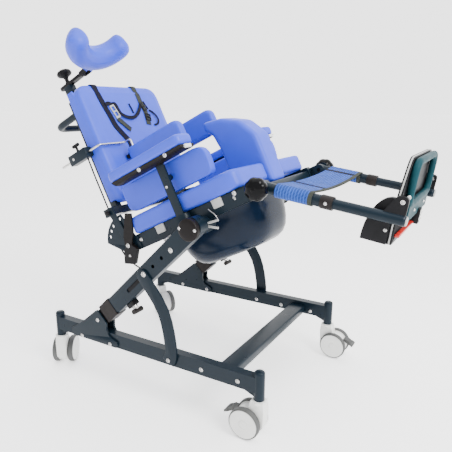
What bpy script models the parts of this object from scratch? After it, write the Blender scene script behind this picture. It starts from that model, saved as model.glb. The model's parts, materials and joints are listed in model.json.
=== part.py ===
"""Tilting shower commode chair: base on castors, lifting columns, tilting seat, backrest and leg rest."""

import math

import bmesh
import bpy
from mathutils import Matrix, Vector

# Driving dimensions, metres. X is forward, Y is the sitter's left, Z is up.
CLEAR = 0.0004
RUN_CLEAR = 0.0006
LEAST_RADIUS = 0.0008

WHEEL_RADIUS = 0.050
WHEEL_WIDTH = 0.020
WHEEL_SIDES = 20
CASTOR_TRAIL = 0.034
CASTOR_HEIGHT = 0.126
FORK_WEB = 0.0355
FORK_DISC = 0.0437
AXLE_RADIUS = 0.005
PEDAL_END = 0.004

POST_X = 0.415
RAIL_Y = 0.3025
RAIL_WIDTH = 0.030
RAIL_BOTTOM = 0.152
RAIL_TOP = 0.201
POST_RADIUS = 0.0165
POST_TOP = 0.218
CROSS_X = 0.292
CROSS_LENGTH = 0.060
CROSS_TOP = 0.186
CROSS_HEIGHT = 0.030

PIVOT_X = 0.188
PIVOT_Z = 0.615
COLUMN_TILT = math.radians(44.0)
COLUMN_Y = 0.2975
COLUMN_WIDTH = 0.040
COLUMN_DEPTH = 0.060
COLUMN_WALL = 0.0030
COLUMN_TOP = 0.036
COLUMN_BOTTOM = -0.505
BUSH_LENGTH = 0.057
BUSH_STEP = 0.002
SLOT_FROM = -0.352
SLOT_TO = -0.246
SLOT_WIDTH = 0.014
LIFT_HOLES = (-0.200, -0.152)
INNER_TOP = -0.225
BRACE_WIDTH = 0.045
BRACE_THICK = 0.007
GUSSET_THICK = 0.006
COVER_RADIUS = 0.034
COVER_THICK = 0.019
PIN_RADIUS = 0.010

SEAT_TILT = math.radians(26.5)
SEAT_RAIL_Y = 0.230
SEAT_RAIL_WIDTH = 0.025
SEAT_RAIL_REAR = -0.322
SEAT_RAIL_FRONT = 0.188
SEAT_RAIL_LOW = 0.007
SEAT_RAIL_HIGH = 0.057
CUSHION_REAR = -0.272
CUSHION_FRONT = 0.167
SIDE_OVERHANG = 0.024
CUSHION_HALF = SEAT_RAIL_Y + SIDE_OVERHANG
CUSHION_LOW = SEAT_RAIL_HIGH + CLEAR
CUSHION_HIGH = 0.117
APERTURE_HALF_LENGTH = 0.125
APERTURE_HALF_WIDTH = 0.098
APERTURE_S = -0.030
FRONT_GAP_HALF = 0.052
PAN_REAR = -0.236
PAN_FRONT = 0.128
PAN_HALF = 0.150
PAN_RIM = 0.030
PAN_DEPTH = 0.160
PAN_WALL = 0.004
RUNNER_WIDTH = 0.030

ARM_POST_S = -0.0547
ARM_POST_WIDTH = 0.030
ARM_POST_THICK = 0.008
ARM_POST_GAP = 0.0065
ARM_POST_Y = CUSHION_HALF + ARM_POST_GAP + ARM_POST_THICK / 2
ARM_Y = 0.276
ARM_REAR = -0.234
ARM_FRONT = 0.078
ARM_TRAY_LOW = 0.218
ARM_PAD_LOW = 0.234
ARM_PAD_HIGH = 0.270
ARM_HALF = 0.039
PANEL_REAR = -0.267
PANEL_FRONT = 0.101
PANEL_LOW = 0.128
PANEL_HIGH = 0.222
PANEL_Y = 0.235
PANEL_THICK = 0.034

HINGE_S = -0.307
HINGE_N = 0.034
BACK_FRONT = -0.293
BACK_REAR = -0.337
BACK_LOW = 0.184
BACK_HIGH = 0.607
BACK_HALF = 0.215
UPRIGHT_DEPTH = 0.028
UPRIGHT_Y = 0.197
SECTOR_RADIUS = 0.095
SECTOR_THICK = 0.004
STRAP_HALF = 0.016
STRAP_THICK = 0.002
SLACK_HALF = 0.006
STRAP_RIGHT = (
    (-0.130, 0.607),
    (-0.123, 0.531),
    (-0.110, 0.470),
    (-0.088, 0.423),
    (-0.068, 0.385),
    (-0.074, 0.350),
)
STRAP_LEFT = ((0.078, 0.607), (0.083, 0.545), (0.088, 0.500), (0.080, 0.447))
STRAP_SLACK = (
    (-0.110, 0.537),
    (-0.066, 0.520),
    (-0.050, 0.492),
    (-0.010, 0.481),
    (0.030, 0.495),
    (0.062, 0.522),
    (0.085, 0.540),
)
ROD_RADIUS = 0.004
ROD_N = 0.385
ROD_GAP = 0.020
ROD_Y = BACK_HALF + ROD_GAP
ROD_TAIL = -0.485
ROD_BEND = -0.281
TRUNK_Y = 0.112
TRUNK_THICK = 0.036
TRUNK_FRONT = -0.026
TRUNK_LOW = 0.302
TRUNK_HIGH = 0.394
TRUNK_DROP = {"right": 0.036, "left": 0.0}
HANDLE_RADIUS = 0.0125
HANDLE_HALF = 0.165
HANDLE_REACH = -0.512
HANDLE_N = 0.545
HEAD_S = -0.372
HEAD_N = 0.772
HEAD_LEAN = math.radians(15.5)
HEAD_HALF = 0.112
HEAD_DEPTH = 0.074
HEAD_RADIUS = 0.046
HEAD_BAR_N = 0.734
HEAD_BAR_THICK = 0.012
HEAD_CLAMP_S = -0.530
HEAD_HINGE_S = -0.437

KNEE_S = 0.2272
KNEE_N = 0.030
LEG_DROP = math.radians(34.0)
LEG_Y = 0.230
LEG_OUTER = 0.0168
LEG_INNER = 0.0142
LEG_START = 0.024
COLLAR_RADIUS = 0.0190
COLLAR_FROM = 0.172
COLLAR_TO = 0.206
SLING_FROM = 0.042
SLING_TO = 0.150
SLING_THICK = 0.003
SLING_SAG = 0.024
KNOB_RADIUS = 0.034
KNEE_PLATE_Y = LEG_Y + LEG_OUTER + 0.0006
KNEE_PLATE_THICK = 0.006
FOOT_V = 0.0455
PLATE_U = 0.352
PLATE_THICK = 0.012
LOOP_RADIUS = 0.010
FOOT_U = PLATE_U + PLATE_THICK + CLEAR + LOOP_RADIUS
LEG_OVERHANG = 0.0166
LEG_END = FOOT_U + LEG_OVERHANG
PLATE_LOW = -0.078
PLATE_HIGH = 0.146
PLATE_GAP = 0.0128
PLATE_HALF = LEG_Y - LEG_INNER - PLATE_GAP
LOOP_HALF = 0.150
LOOP_LOW = 0.020
LOOP_HIGH = 0.135
CABLE_RADIUS = 0.0028

SIDES = (("right", -1), ("left", 1))


def clear_scene():
    for obj in list(bpy.data.objects):
        bpy.data.objects.remove(obj, do_unlink=True)


def material(name, colour, roughness, metallic=0.0):
    made = bpy.data.materials.new(name)
    made.use_nodes = True
    shader = made.node_tree.nodes["Principled BSDF"]
    shader.inputs["Base Color"].default_value = (*colour, 1.0)
    shader.inputs["Roughness"].default_value = roughness
    shader.inputs["Metallic"].default_value = metallic
    made.diffuse_color = (*colour, 1.0)
    return made


def empty(name, parent, location=(0, 0, 0), turn_y=0.0, turn_z=0.0):
    made = bpy.data.objects.new(name, None)
    bpy.context.scene.collection.objects.link(made)
    made.parent = parent
    made.location = location
    made.rotation_euler = (0.0, turn_y, turn_z)
    made.empty_display_size = 0.05
    return made


def tidy(bm):
    bmesh.ops.remove_doubles(bm, verts=bm.verts, dist=1e-6)
    bmesh.ops.recalc_face_normals(bm, faces=bm.faces)
    return bm


def loft(loops, cap=True):
    """A closed solid through loops of equal length."""
    bm = bmesh.new()
    rings = [[bm.verts.new(point) for point in loop] for loop in loops]
    count = len(rings[0])
    for low, high in zip(rings, rings[1:]):
        for i in range(count):
            j = (i + 1) % count
            bm.faces.new((low[i], low[j], high[j], high[i]))
    if cap:
        bm.faces.new(rings[0][::-1])
        bm.faces.new(rings[-1])
    else:
        for i in range(count):
            j = (i + 1) % count
            bm.faces.new((rings[-1][i], rings[-1][j], rings[0][j], rings[0][i]))
    return tidy(bm)


def box(x0, x1, y0, y1, z0, z1):
    corners = [(x0, y0), (x1, y0), (x1, y1), (x0, y1)]
    return loft([[(x, y, z) for x, y in corners] for z in (z0, z1)])


def prism_y(outline, y0, y1):
    """A flat piece whose outline is drawn in X and Z."""
    return loft([[(x, y, z) for x, z in outline] for y in (y0, y1)])


def frame_at(direction):
    side = direction.cross(Vector((0, 0, 1)))
    if side.length < 1e-4:
        side = direction.cross(Vector((0, 1, 0)))
    side.normalize()
    return side, side.cross(direction).normalized()


def sweep(points, radii, sides=10, closed=False, squash=1.0):
    """A round section carried along a path, with the frame turned as little as possible."""
    path = [Vector(p) for p in points]
    if not isinstance(radii, (list, tuple)):
        radii = [radii] * len(path)
    count = len(path)
    loops = []
    side = None
    for i, point in enumerate(path):
        if closed:
            ahead, behind = path[(i + 1) % count], path[i - 1]
        else:
            ahead, behind = path[min(i + 1, count - 1)], path[max(i - 1, 0)]
        along = (ahead - behind).normalized()
        if side is None:
            side, up = frame_at(along)
        else:
            side = (side - along * side.dot(along)).normalized()
            up = side.cross(along).normalized()
        ring = []
        for k in range(sides):
            angle = 2 * math.pi * (k + 0.5) / sides
            offset = side * math.cos(angle) + up * (math.sin(angle) * squash)
            ring.append(point + offset * radii[i])
        loops.append(ring)
    return loft(loops, cap=not closed)


def rod(start, end, radius, sides=12):
    return sweep([start, end], radius, sides)


def turned(profile, centre, sides=16):
    """A solid turned about a line along Y through centre: profile holds (y, radius)."""
    loops = []
    for y, radius in profile:
        loops.append(
            [
                (
                    centre[0] + radius * math.cos(2 * math.pi * (k + 0.5) / sides),
                    centre[1] + y,
                    centre[2] + radius * math.sin(2 * math.pi * (k + 0.5) / sides),
                )
                for k in range(sides)
            ]
        )
    return loft(loops)


def rounded(points, radii, steps=4):
    """The outline with its corners rounded by circular arcs."""
    out = []
    count = len(points)
    if not isinstance(radii, (list, tuple)):
        radii = [radii] * count
    for i in range(count):
        here = Vector(points[i])
        radius = radii[i]
        before = Vector(points[i - 1]) - here
        after = Vector(points[(i + 1) % count]) - here
        if radius <= 0:
            out.append(tuple(here))
            continue
        half = before.angle(after) / 2
        reach = min(radius / math.tan(half), 0.49 * before.length, 0.49 * after.length)
        first = here + before.normalized() * reach
        last = here + after.normalized() * reach
        for k in range(steps + 1):
            t = k / steps
            blend = first * (1 - t) ** 2 + here * (2 * t * (1 - t)) + last * t**2
            out.append(tuple(blend))
    return out


def winding(outline):
    """1 for a loop drawn anticlockwise, -1 for a clockwise one."""
    count = len(outline)
    area = 0.0
    for i in range(count):
        a, b = outline[i], outline[(i + 1) % count]
        area += a[0] * b[1] - b[0] * a[1]
    return 1.0 if area > 0 else -1.0


def inset(outline, amount):
    """The closed outline moved inwards."""
    count = len(outline)
    turn = winding(outline)
    moved = []
    for i in range(count):
        here = Vector(outline[i])
        before = (here - Vector(outline[i - 1])).normalized()
        after = (Vector(outline[(i + 1) % count]) - here).normalized()
        normal_a = Vector((-before.y, before.x)) * turn
        normal_b = Vector((-after.y, after.x)) * turn
        bisector = normal_a + normal_b
        bisector.normalize()
        scale = amount / max(0.5, bisector.dot(normal_a))
        moved.append(tuple(here + bisector * scale))
    return moved


def inset_radii(points, radii, amount):
    """Corner radii after an inset: an outer corner tightens and a hollow one opens."""
    turn = winding(points)
    count = len(points)
    if not isinstance(radii, (list, tuple)):
        radii = [radii] * count
    out = []
    for i in range(count):
        here = Vector(points[i])
        before = here - Vector(points[i - 1])
        after = Vector(points[(i + 1) % count]) - here
        outer = before.cross(after) * turn > 0
        if radii[i] <= 0:
            out.append(0.0)
        elif outer:
            out.append(max(radii[i] - amount, LEAST_RADIUS))
        else:
            out.append(radii[i] + amount)
    return out


def pad(outline, levels, place):
    """A moulded pad: the outline, as corners, radii and arc steps, at several heights with insets."""
    points, radii, steps = outline
    loops = []
    for height, step in levels:
        ring = rounded(inset(points, step), inset_radii(points, radii, step), steps)
        loops.append([place(a, b, height) for a, b in ring])
    return loft(loops)


def pad_levels(low, high, edge, crown):
    return (
        (low, edge),
        (low + 0.35 * edge, 0.25 * edge),
        (low + edge, 0.0),
        (high - edge, 0.0),
        (high - 0.3 * edge, 0.3 * edge),
        (high, edge),
        (high + crown, 2.6 * edge),
    )


def smooth_path(points, steps):
    """Points read from a smooth curve through the given ones."""
    path = [Vector(p) for p in points]
    out = []
    for i in range(len(path) - 1):
        p0 = path[max(i - 1, 0)]
        p1, p2 = path[i], path[i + 1]
        p3 = path[min(i + 2, len(path) - 1)]
        for k in range(steps):
            t = k / steps
            out.append(
                0.5
                * (
                    2 * p1
                    + (p2 - p0) * t
                    + (2 * p0 - 5 * p1 + 4 * p2 - p3) * t**2
                    + (3 * p1 - p0 - 3 * p2 + p3) * t**3
                )
            )
    out.append(path[-1])
    return out


def bend_path(points, radius, steps=3):
    """A bent tube's centre line: straight runs with rounded corners."""
    path = [Vector(p) for p in points]
    out = [path[0]]
    for before, here, after in zip(path, path[1:], path[2:]):
        first = here + (before - here).normalized() * radius
        last = here + (after - here).normalized() * radius
        for k in range(steps + 1):
            t = k / steps
            out.append(first * (1 - t) ** 2 + here * (2 * t * (1 - t)) + last * t**2)
    out.append(path[-1])
    return out


def solid(name, parent, look, adds, cuts=()):
    """One node: the first shape joined with the rest, then cut."""
    made = bpy.data.objects.new(name, bpy.data.meshes.new(name))
    adds[0].to_mesh(made.data)
    bpy.context.scene.collection.objects.link(made)
    helpers = []
    for operation, shapes in (("UNION", adds[1:]), ("DIFFERENCE", cuts)):
        for shape in shapes:
            mesh = bpy.data.meshes.new("shape")
            shape.to_mesh(mesh)
            helper = bpy.data.objects.new("shape", mesh)
            bpy.context.scene.collection.objects.link(helper)
            modifier = made.modifiers.new(operation.title(), "BOOLEAN")
            modifier.operation = operation
            modifier.solver = "EXACT"
            modifier.object = helper
            helpers.append(helper)
    if helpers:
        bpy.context.view_layer.update()
        graph = bpy.context.evaluated_depsgraph_get()
        final = bpy.data.meshes.new_from_object(made.evaluated_get(graph))
        made.modifiers.clear()
        made.data = final
        final.name = name
        for helper in helpers:
            bpy.data.objects.remove(helper, do_unlink=True)
    made.data.materials.clear()
    made.data.materials.append(look)
    made.data.shade_smooth()
    made.data.set_sharp_from_angle(angle=math.radians(35))
    made.parent = parent
    return made


def looks():
    return {
        "frame": material("frame_paint", (0.022, 0.050, 0.090), 0.45),
        "teal": material("foot_paint", (0.035, 0.155, 0.200), 0.40),
        "foam": material("blue_foam", (0.130, 0.240, 0.690), 0.55),
        "pan": material("pan_plastic", (0.020, 0.040, 0.110), 0.25),
        "castor": material("castor_plastic", (0.740, 0.760, 0.720), 0.45),
        "tyre": material("tyre_rubber", (0.220, 0.220, 0.210), 0.70),
        "black": material("black_plastic", (0.018, 0.018, 0.022), 0.50),
        "steel": material("bright_steel", (0.620, 0.620, 0.620), 0.25, 1.0),
        "web": material("webbing", (0.035, 0.035, 0.065), 0.85),
        "mesh": material("sling_mesh", (0.080, 0.190, 0.620), 0.85),
        "red": material("red_plastic", (0.550, 0.030, 0.030), 0.45),
    }


def build_base(root, look):
    for side, sign in SIDES:
        y = sign * RAIL_Y
        half = RAIL_WIDTH / 2
        adds = [box(-POST_X, POST_X, y - half, y + half, RAIL_BOTTOM, RAIL_TOP)]
        for x in (-POST_X, POST_X):
            dome = 0.6 * POST_RADIUS
            adds.append(
                sweep(
                    [(x, y, CASTOR_HEIGHT), (x, y, POST_TOP - dome), (x, y, POST_TOP)],
                    [POST_RADIUS, POST_RADIUS, dome],
                    14,
                )
            )
            inward = -math.copysign(1.0, x)
            web = [
                (x, CASTOR_HEIGHT + 0.004),
                (x + inward * 0.065, RAIL_BOTTOM + 0.004),
                (x, RAIL_BOTTOM + 0.004),
            ]
            adds.append(prism_y(web, y - 0.6 * half, y + 0.6 * half))
        solid(f"base_rail_{side}", root, look["frame"], adds)
    reach = RAIL_Y - RAIL_WIDTH / 2 - CLEAR
    bar = rounded(
        [
            (CROSS_X - CROSS_LENGTH / 2, CROSS_TOP - CROSS_HEIGHT),
            (CROSS_X + CROSS_LENGTH / 2, CROSS_TOP - CROSS_HEIGHT),
            (CROSS_X + CROSS_LENGTH / 2, CROSS_TOP),
            (CROSS_X - CROSS_LENGTH / 2, CROSS_TOP),
        ],
        0.006,
        3,
    )
    solid("base_cross_bar", root, look["frame"], [prism_y(bar, -reach, reach)])


def column_point(along, across):
    """A point of the column's side view, from its place along and across the column's axis."""
    c, s = math.cos(COLUMN_TILT), math.sin(COLUMN_TILT)
    return (PIVOT_X + along * c - across * s, PIVOT_Z + along * s + across * c)


def build_column_feet(root, look):
    inner_half = COLUMN_DEPTH / 2 - COLUMN_WALL - RUN_CLEAR / 2
    slope = math.tan(COLUMN_TILT)
    foot = RAIL_TOP + CLEAR
    rear_top = column_point(INNER_TOP, inner_half)
    front_top = column_point(INNER_TOP, -inner_half)
    rear_low = (rear_top[0] - (rear_top[1] - foot) / slope, foot)
    front_low = (front_top[0] - (front_top[1] - foot) / slope, foot)
    low_end = COLUMN_BOTTOM - 0.010
    top_rear = column_point(low_end, COLUMN_DEPTH / 2)
    top_front = column_point(low_end, -COLUMN_DEPTH / 2)
    plate_low = RAIL_BOTTOM + 0.002
    gusset = [
        (rear_low[0] - 0.055, plate_low),
        (front_low[0] + 0.085, plate_low),
        (front_low[0] + 0.085, plate_low + 0.022),
        (front_low[0] + 0.050, RAIL_TOP - 0.012),
        (top_front[0] - 0.002, RAIL_TOP + 0.010),
        top_front,
        top_rear,
        (rear_low[0] - 0.012, RAIL_TOP + 0.006),
        (rear_low[0] - 0.055, RAIL_TOP - 0.020),
    ]
    for side, sign in SIDES:
        inner_width = COLUMN_WIDTH / 2 - COLUMN_WALL - RUN_CLEAR / 2
        y = sign * COLUMN_Y
        tube = prism_y([rear_low, front_low, front_top, rear_top], y - inner_width, y + inner_width)
        face = COLUMN_Y + COLUMN_WIDTH / 2 + CLEAR
        plate = prism_y(rounded(gusset, 0.010, 2), sign * face, sign * (face + GUSSET_THICK))
        boss_at = column_point(COLUMN_BOTTOM - 0.042, 0.0)
        boss = rod(
            (boss_at[0], sign * COLUMN_Y, boss_at[1]),
            (boss_at[0], sign * (face + GUSSET_THICK / 2), boss_at[1]),
            0.016,
        )
        solid(f"column_foot_{side}", root, look["frame"], [tube, boss, plate])


def brace_line():
    bolt = column_point(SLOT_TO - 0.008, 0.0)
    lower = RAIL_BOTTOM + 0.012
    return smooth_path(
        [
            (bolt[0], bolt[1], 0),
            (bolt[0] + 0.078, bolt[1] - 0.103, 0),
            (bolt[0] + 0.106, RAIL_TOP + 0.010, 0),
            (bolt[0] + 0.094, lower, 0),
        ],
        4,
    )


def build_braces(root, look):
    line = brace_line()
    half = BRACE_WIDTH / 2
    left, right = [], []
    for i, point in enumerate(line):
        along = (line[min(i + 1, len(line) - 1)] - line[max(i - 1, 0)]).normalized()
        normal = Vector((-along.y, along.x, 0))
        left.append(point + normal * half)
        right.append(point - normal * half)
    first = (line[0] - line[1]).normalized()
    start = math.atan2(first.y, first.x)
    cap = []
    for k in range(1, 6):
        angle = start + math.pi / 2 - math.pi * k / 6
        cap.append(line[0] + Vector((math.cos(angle), math.sin(angle), 0)) * half)
    outline = [(p.x, p.y) for p in left[::-1] + cap[::-1] + right]
    face = COLUMN_Y + COLUMN_WIDTH / 2 + CLEAR
    pin_end = COLUMN_Y + COLUMN_WIDTH / 2 - COLUMN_WALL - RUN_CLEAR / 2 + CLEAR
    for side, sign in SIDES:
        bar = prism_y(outline, sign * face, sign * (face + BRACE_THICK))
        pin = rod(
            (line[0].x, sign * pin_end, line[0].y),
            (line[0].x, sign * (face + BRACE_THICK / 2), line[0].y),
            SLOT_WIDTH / 2 - 0.0010,
        )
        solid(f"brace_{side}", root, look["frame"], [bar, pin])


def build_castors(root, look):
    spots = (
        ("front_right", POST_X, -RAIL_Y, 0.0, True),
        ("front_left", POST_X, RAIL_Y, math.pi, True),
        ("rear_right", -POST_X, -RAIL_Y, math.radians(-60), False),
        ("rear_left", -POST_X, RAIL_Y, math.radians(150), False),
    )
    for spot, x, y, heading, braked in spots:
        swivel = empty(f"swivel_{spot}", root, (x, y, 0.0), turn_z=heading)
        axle = empty(f"axle_{spot}", swivel, (-CASTOR_TRAIL, 0.0, WHEEL_RADIUS))
        hub = (-CASTOR_TRAIL, 0.0, WHEEL_RADIUS)
        web = FORK_WEB / 2
        outer = web + CLEAR + WHEEL_WIDTH
        top = CASTOR_HEIGHT - CLEAR
        disc = turned([(-web, FORK_DISC), (web, FORK_DISC)], hub, 32)
        corners = [
            (-0.020, top),
            (0.020, top),
            (0.024, 0.096),
            (0.021, 0.043),
            (-0.002, 0.020),
            (hub[0], hub[2]),
            (-0.026, 0.102),
        ]
        body = prism_y(rounded(corners, [0, 0, 0.012, 0.016, 0.008, 0, 0.006], 3), -web, web)
        lower = rod((hub[0], -0.1, hub[2]), (hub[0], 0.1, hub[2]), AXLE_RADIUS + RUN_CLEAR)
        solid(f"castor_fork_{spot}", swivel, look["castor"], [disc, body], [lower])
        rim = 0.004
        wheels = []
        for sign in (-1, 1):
            near = web + CLEAR
            far = outer
            profile = [
                (sign * near, WHEEL_RADIUS - rim),
                (sign * (near + rim), WHEEL_RADIUS),
                (sign * (far - rim), WHEEL_RADIUS),
                (sign * far, WHEEL_RADIUS - rim),
            ]
            flat = math.cos(math.pi / WHEEL_SIDES)
            profile = [(d, r / flat if r == WHEEL_RADIUS else r) for d, r in profile]
            wheels.append(wheel_shape(profile))
        spindle = rod((0, -web - 0.004, 0), (0, web + 0.004, 0), AXLE_RADIUS, 10)
        solid(f"castor_wheels_{spot}", axle, look["tyre"], [spindle, *wheels])
        if braked:
            build_pedal(spot, swivel, look)


def wheel_shape(profile):
    """A wheel about its own axle, with the middle of a facet on the floor."""
    loops = []
    for y, radius in profile:
        ring = []
        for k in range(WHEEL_SIDES):
            angle = 2 * math.pi * (k + 0.5) / WHEEL_SIDES - math.pi / 2
            ring.append((radius * math.cos(angle), y, radius * math.sin(angle)))
        loops.append(ring)
    return loft(loops)


def build_pedal(spot, swivel, look):
    """A brake pedal hinged between the wheels, behind the fork's disc."""
    angle = math.radians(147)
    end = PEDAL_END
    reach = FORK_DISC + CLEAR + PEDAL_END
    hub = (-CASTOR_TRAIL, WHEEL_RADIUS)
    hinge = empty(
        f"pedal_axis_{spot}",
        swivel,
        (hub[0] + reach * math.cos(angle), 0.0, hub[1] + reach * math.sin(angle)),
    )
    half = FORK_WEB / 2 - 0.003
    turns = [math.radians(-90 + 22.5 * k) for k in range(9)]
    knuckle = [(end * math.cos(turn), end * math.sin(turn)) for turn in turns]
    corners = [(-0.034, -0.012), (-0.030, -0.020), *knuckle, (-0.010, end)]
    outline = rounded(corners, [0.0015, 0.0015, *[0.0] * len(knuckle), 0.0015], 2)
    solid(f"brake_pedal_{spot}", hinge, look["tyre"], [prism_y(outline, -half, half)])


def build_columns(lift, look):
    """Column pieces are drawn along X in the lift's own frame, which leans with the columns."""
    depth = COLUMN_DEPTH / 2
    for side, sign in SIDES:
        y = sign * COLUMN_Y
        width = COLUMN_WIDTH / 2
        outline = rounded(
            [(COLUMN_BOTTOM, -depth), (COLUMN_TOP, -depth), (COLUMN_TOP, depth), (COLUMN_BOTTOM, depth)],
            [0.0, 0.028, 0.028, 0.0],
            5,
        )
        tube = prism_y(outline, y - width, y + width)
        bush = box(
            COLUMN_BOTTOM,
            COLUMN_BOTTOM + BUSH_LENGTH,
            y - width - BUSH_STEP,
            y + width + BUSH_STEP,
            -depth - BUSH_STEP,
            depth + BUSH_STEP,
        )
        wall = COLUMN_WALL
        bore = box(
            COLUMN_BOTTOM - 0.02,
            -COVER_RADIUS - 0.020,
            y - width + wall,
            y + width - wall,
            -depth + wall,
            depth - wall,
        )
        face = sign * (COLUMN_Y + width)
        inside = sign * (COLUMN_Y + width - 2 * wall)
        slot = rounded(
            [
                (SLOT_FROM, -SLOT_WIDTH / 2),
                (SLOT_TO, -SLOT_WIDTH / 2),
                (SLOT_TO, SLOT_WIDTH / 2),
                (SLOT_FROM, SLOT_WIDTH / 2),
            ],
            0.0065,
            3,
        )
        cuts = [bore, prism_y(slot, inside, face + sign * 0.01)]
        for hole in LIFT_HOLES:
            cuts.append(rod((hole, inside, 0), (hole, face + sign * 0.01, 0), 0.0065, 10))
        cuts.append(rod((0, y - 0.1, 0), (0, y + 0.1, 0), PIN_RADIUS + RUN_CLEAR, 16))
        solid(f"column_tube_{side}", lift, look["frame"], [tube, bush], cuts)
        cap_at = COLUMN_Y + width + CLEAR
        profile = [
            (sign * cap_at, COVER_RADIUS),
            (sign * (cap_at + 0.7 * COVER_THICK), COVER_RADIUS),
            (sign * (cap_at + 0.9 * COVER_THICK), 0.88 * COVER_RADIUS),
            (sign * (cap_at + COVER_THICK), 0.60 * COVER_RADIUS),
        ]
        pin = rod((0, sign * (SEAT_RAIL_Y + 0.016), 0), (0, sign * (cap_at + 0.004), 0), PIN_RADIUS, 16)
        solid(f"pivot_cover_{side}", lift, look["black"], [turned(profile, (0, 0, 0), 24), pin])
        build_height_lock(side, sign, lift, look)


def build_height_lock(side, sign, lift, look):
    """A pull plunger under the column that pins the outer tube to the inner tube."""
    at = -0.382
    under = -COLUMN_DEPTH / 2 - CLEAR
    axis = empty(f"lock_axis_{side}", lift, (at, sign * COLUMN_Y, under))
    body = box(-0.016, 0.016, -0.014, 0.014, -0.016, 0.0)
    barrel = rod((0, 0, -0.030), (0, 0, -0.008), 0.010, 10)
    grip = rod((0, -0.020, -0.034), (0, 0.020, -0.034), 0.009, 10)
    solid(f"height_lock_{side}", axis, look["black"], [body, barrel, grip])


def sector_outline():
    arc = []
    for k in range(9):
        angle = math.radians(88 + 9 * k)
        reach = SECTOR_RADIUS + 0.013
        arc.append((HINGE_S + reach * math.cos(angle), HINGE_N + reach * math.sin(angle)))
    low = [(HINGE_S - 0.030, HINGE_N - 0.022), (HINGE_S + 0.040, HINGE_N - 0.022)]
    return arc + low + [(HINGE_S + 0.040, HINGE_N + 0.018), (HINGE_S + 0.030, HINGE_N + 0.022)]


def build_seat_frame(seat, look):
    adds, cuts = [], []
    half = SEAT_RAIL_WIDTH / 2
    inner = SEAT_RAIL_Y - half
    outer = SEAT_RAIL_Y + half
    reach = inner + 0.004
    adds.append(box(SEAT_RAIL_REAR, SEAT_RAIL_REAR + 0.026, -reach, reach, PAN_RIM + 0.006, SEAT_RAIL_HIGH))
    adds.append(box(SEAT_RAIL_FRONT - 0.034, SEAT_RAIL_FRONT - 0.004, -reach, reach, 0.012, 0.044))
    for sign in (-1, 1):
        rail = rounded(
            [
                (SEAT_RAIL_REAR, SEAT_RAIL_LOW),
                (SEAT_RAIL_FRONT, SEAT_RAIL_LOW),
                (SEAT_RAIL_FRONT, SEAT_RAIL_HIGH),
                (SEAT_RAIL_REAR, SEAT_RAIL_HIGH),
            ],
            0.008,
            2,
        )
        adds.append(prism_y(rail, sign * inner, sign * outer))
        boss_end = COLUMN_Y - COLUMN_WIDTH / 2 - CLEAR
        adds.append(rod((0, sign * (inner + 0.001), 0), (0, sign * boss_end, 0), 0.027, 20))
        runner = box(PAN_REAR - 0.02, PAN_FRONT + 0.012, 0, 1, 0, 0.005)
        runner_low = PAN_RIM - 0.006 - CLEAR - 0.005
        bmesh.ops.scale(runner, vec=(1, RUNNER_WIDTH, 1), verts=runner.verts)
        shift = inner - RUNNER_WIDTH + 0.004 if sign > 0 else -inner - 0.004
        bmesh.ops.translate(runner, vec=(0, shift, runner_low), verts=runner.verts)
        adds.append(runner)
        plate = prism_y(sector_outline(), sign * (outer - 0.001), sign * (outer + SECTOR_THICK))
        adds.append(plate)
        knee_plate = rounded(
            [
                (SEAT_RAIL_FRONT - 0.045, KNEE_N - 0.020),
                (KNEE_S + 0.022, KNEE_N - 0.022),
                (KNEE_S + 0.022, KNEE_N + 0.022),
                (SEAT_RAIL_FRONT - 0.045, KNEE_N + 0.020),
            ],
            [0.006, 0.020, 0.020, 0.006],
            4,
        )
        adds.append(prism_y(knee_plate, sign * KNEE_PLATE_Y, sign * (KNEE_PLATE_Y + KNEE_PLATE_THICK)))
        spacer = rounded(
            [
                (SEAT_RAIL_FRONT - 0.043, KNEE_N - 0.016),
                (SEAT_RAIL_FRONT - 0.010, KNEE_N - 0.016),
                (SEAT_RAIL_FRONT - 0.010, KNEE_N + 0.016),
                (SEAT_RAIL_FRONT - 0.043, KNEE_N + 0.016),
            ],
            0.004,
            2,
        )
        adds.append(prism_y(spacer, sign * (outer - 0.002), sign * (KNEE_PLATE_Y + 0.002)))
        post_half = ARM_POST_THICK / 2
        socket_low = SEAT_RAIL_LOW + 0.004
        adds.append(
            box(
                ARM_POST_S - ARM_POST_WIDTH / 2 - 0.005,
                ARM_POST_S + ARM_POST_WIDTH / 2 + 0.005,
                min(sign * (outer - 0.002), sign * (ARM_POST_Y + post_half + 0.004)),
                max(sign * (outer - 0.002), sign * (ARM_POST_Y + post_half + 0.004)),
                socket_low,
                SEAT_RAIL_HIGH - 0.004,
            )
        )
        cuts.append(
            box(
                ARM_POST_S - ARM_POST_WIDTH / 2 - RUN_CLEAR,
                ARM_POST_S + ARM_POST_WIDTH / 2 + RUN_CLEAR,
                sign * ARM_POST_Y - post_half - RUN_CLEAR,
                sign * ARM_POST_Y + post_half + RUN_CLEAR,
                socket_low + 0.006,
                SEAT_RAIL_HIGH + 0.02,
            )
        )
        bore = (SEAT_RAIL_Y + 0.0155) * sign
        cuts.append(rod((0, bore, 0), (0, sign * 0.3, 0), PIN_RADIUS + RUN_CLEAR, 16))
        cuts.append(rod((KNEE_S, sign * inner, KNEE_N), (KNEE_S, sign * 0.3, KNEE_N), 0.006 + RUN_CLEAR, 12))
        from_y = sign * (outer - 0.008)
        cuts.append(rod((HINGE_S, from_y, HINGE_N), (HINGE_S, sign * 0.3, HINGE_N), 0.006 + RUN_CLEAR, 12))
        for k in range(5):
            angle = math.radians(94 + 13 * k)
            hole = (HINGE_S + SECTOR_RADIUS * math.cos(angle), HINGE_N + SECTOR_RADIUS * math.sin(angle))
            hole_in, hole_out = sign * (outer - 0.02), sign * 0.3
            cuts.append(rod((hole[0], hole_in, hole[1]), (hole[0], hole_out, hole[1]), 0.006, 8))
    solid("seat_frame", seat, look["frame"], adds, cuts)


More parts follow.
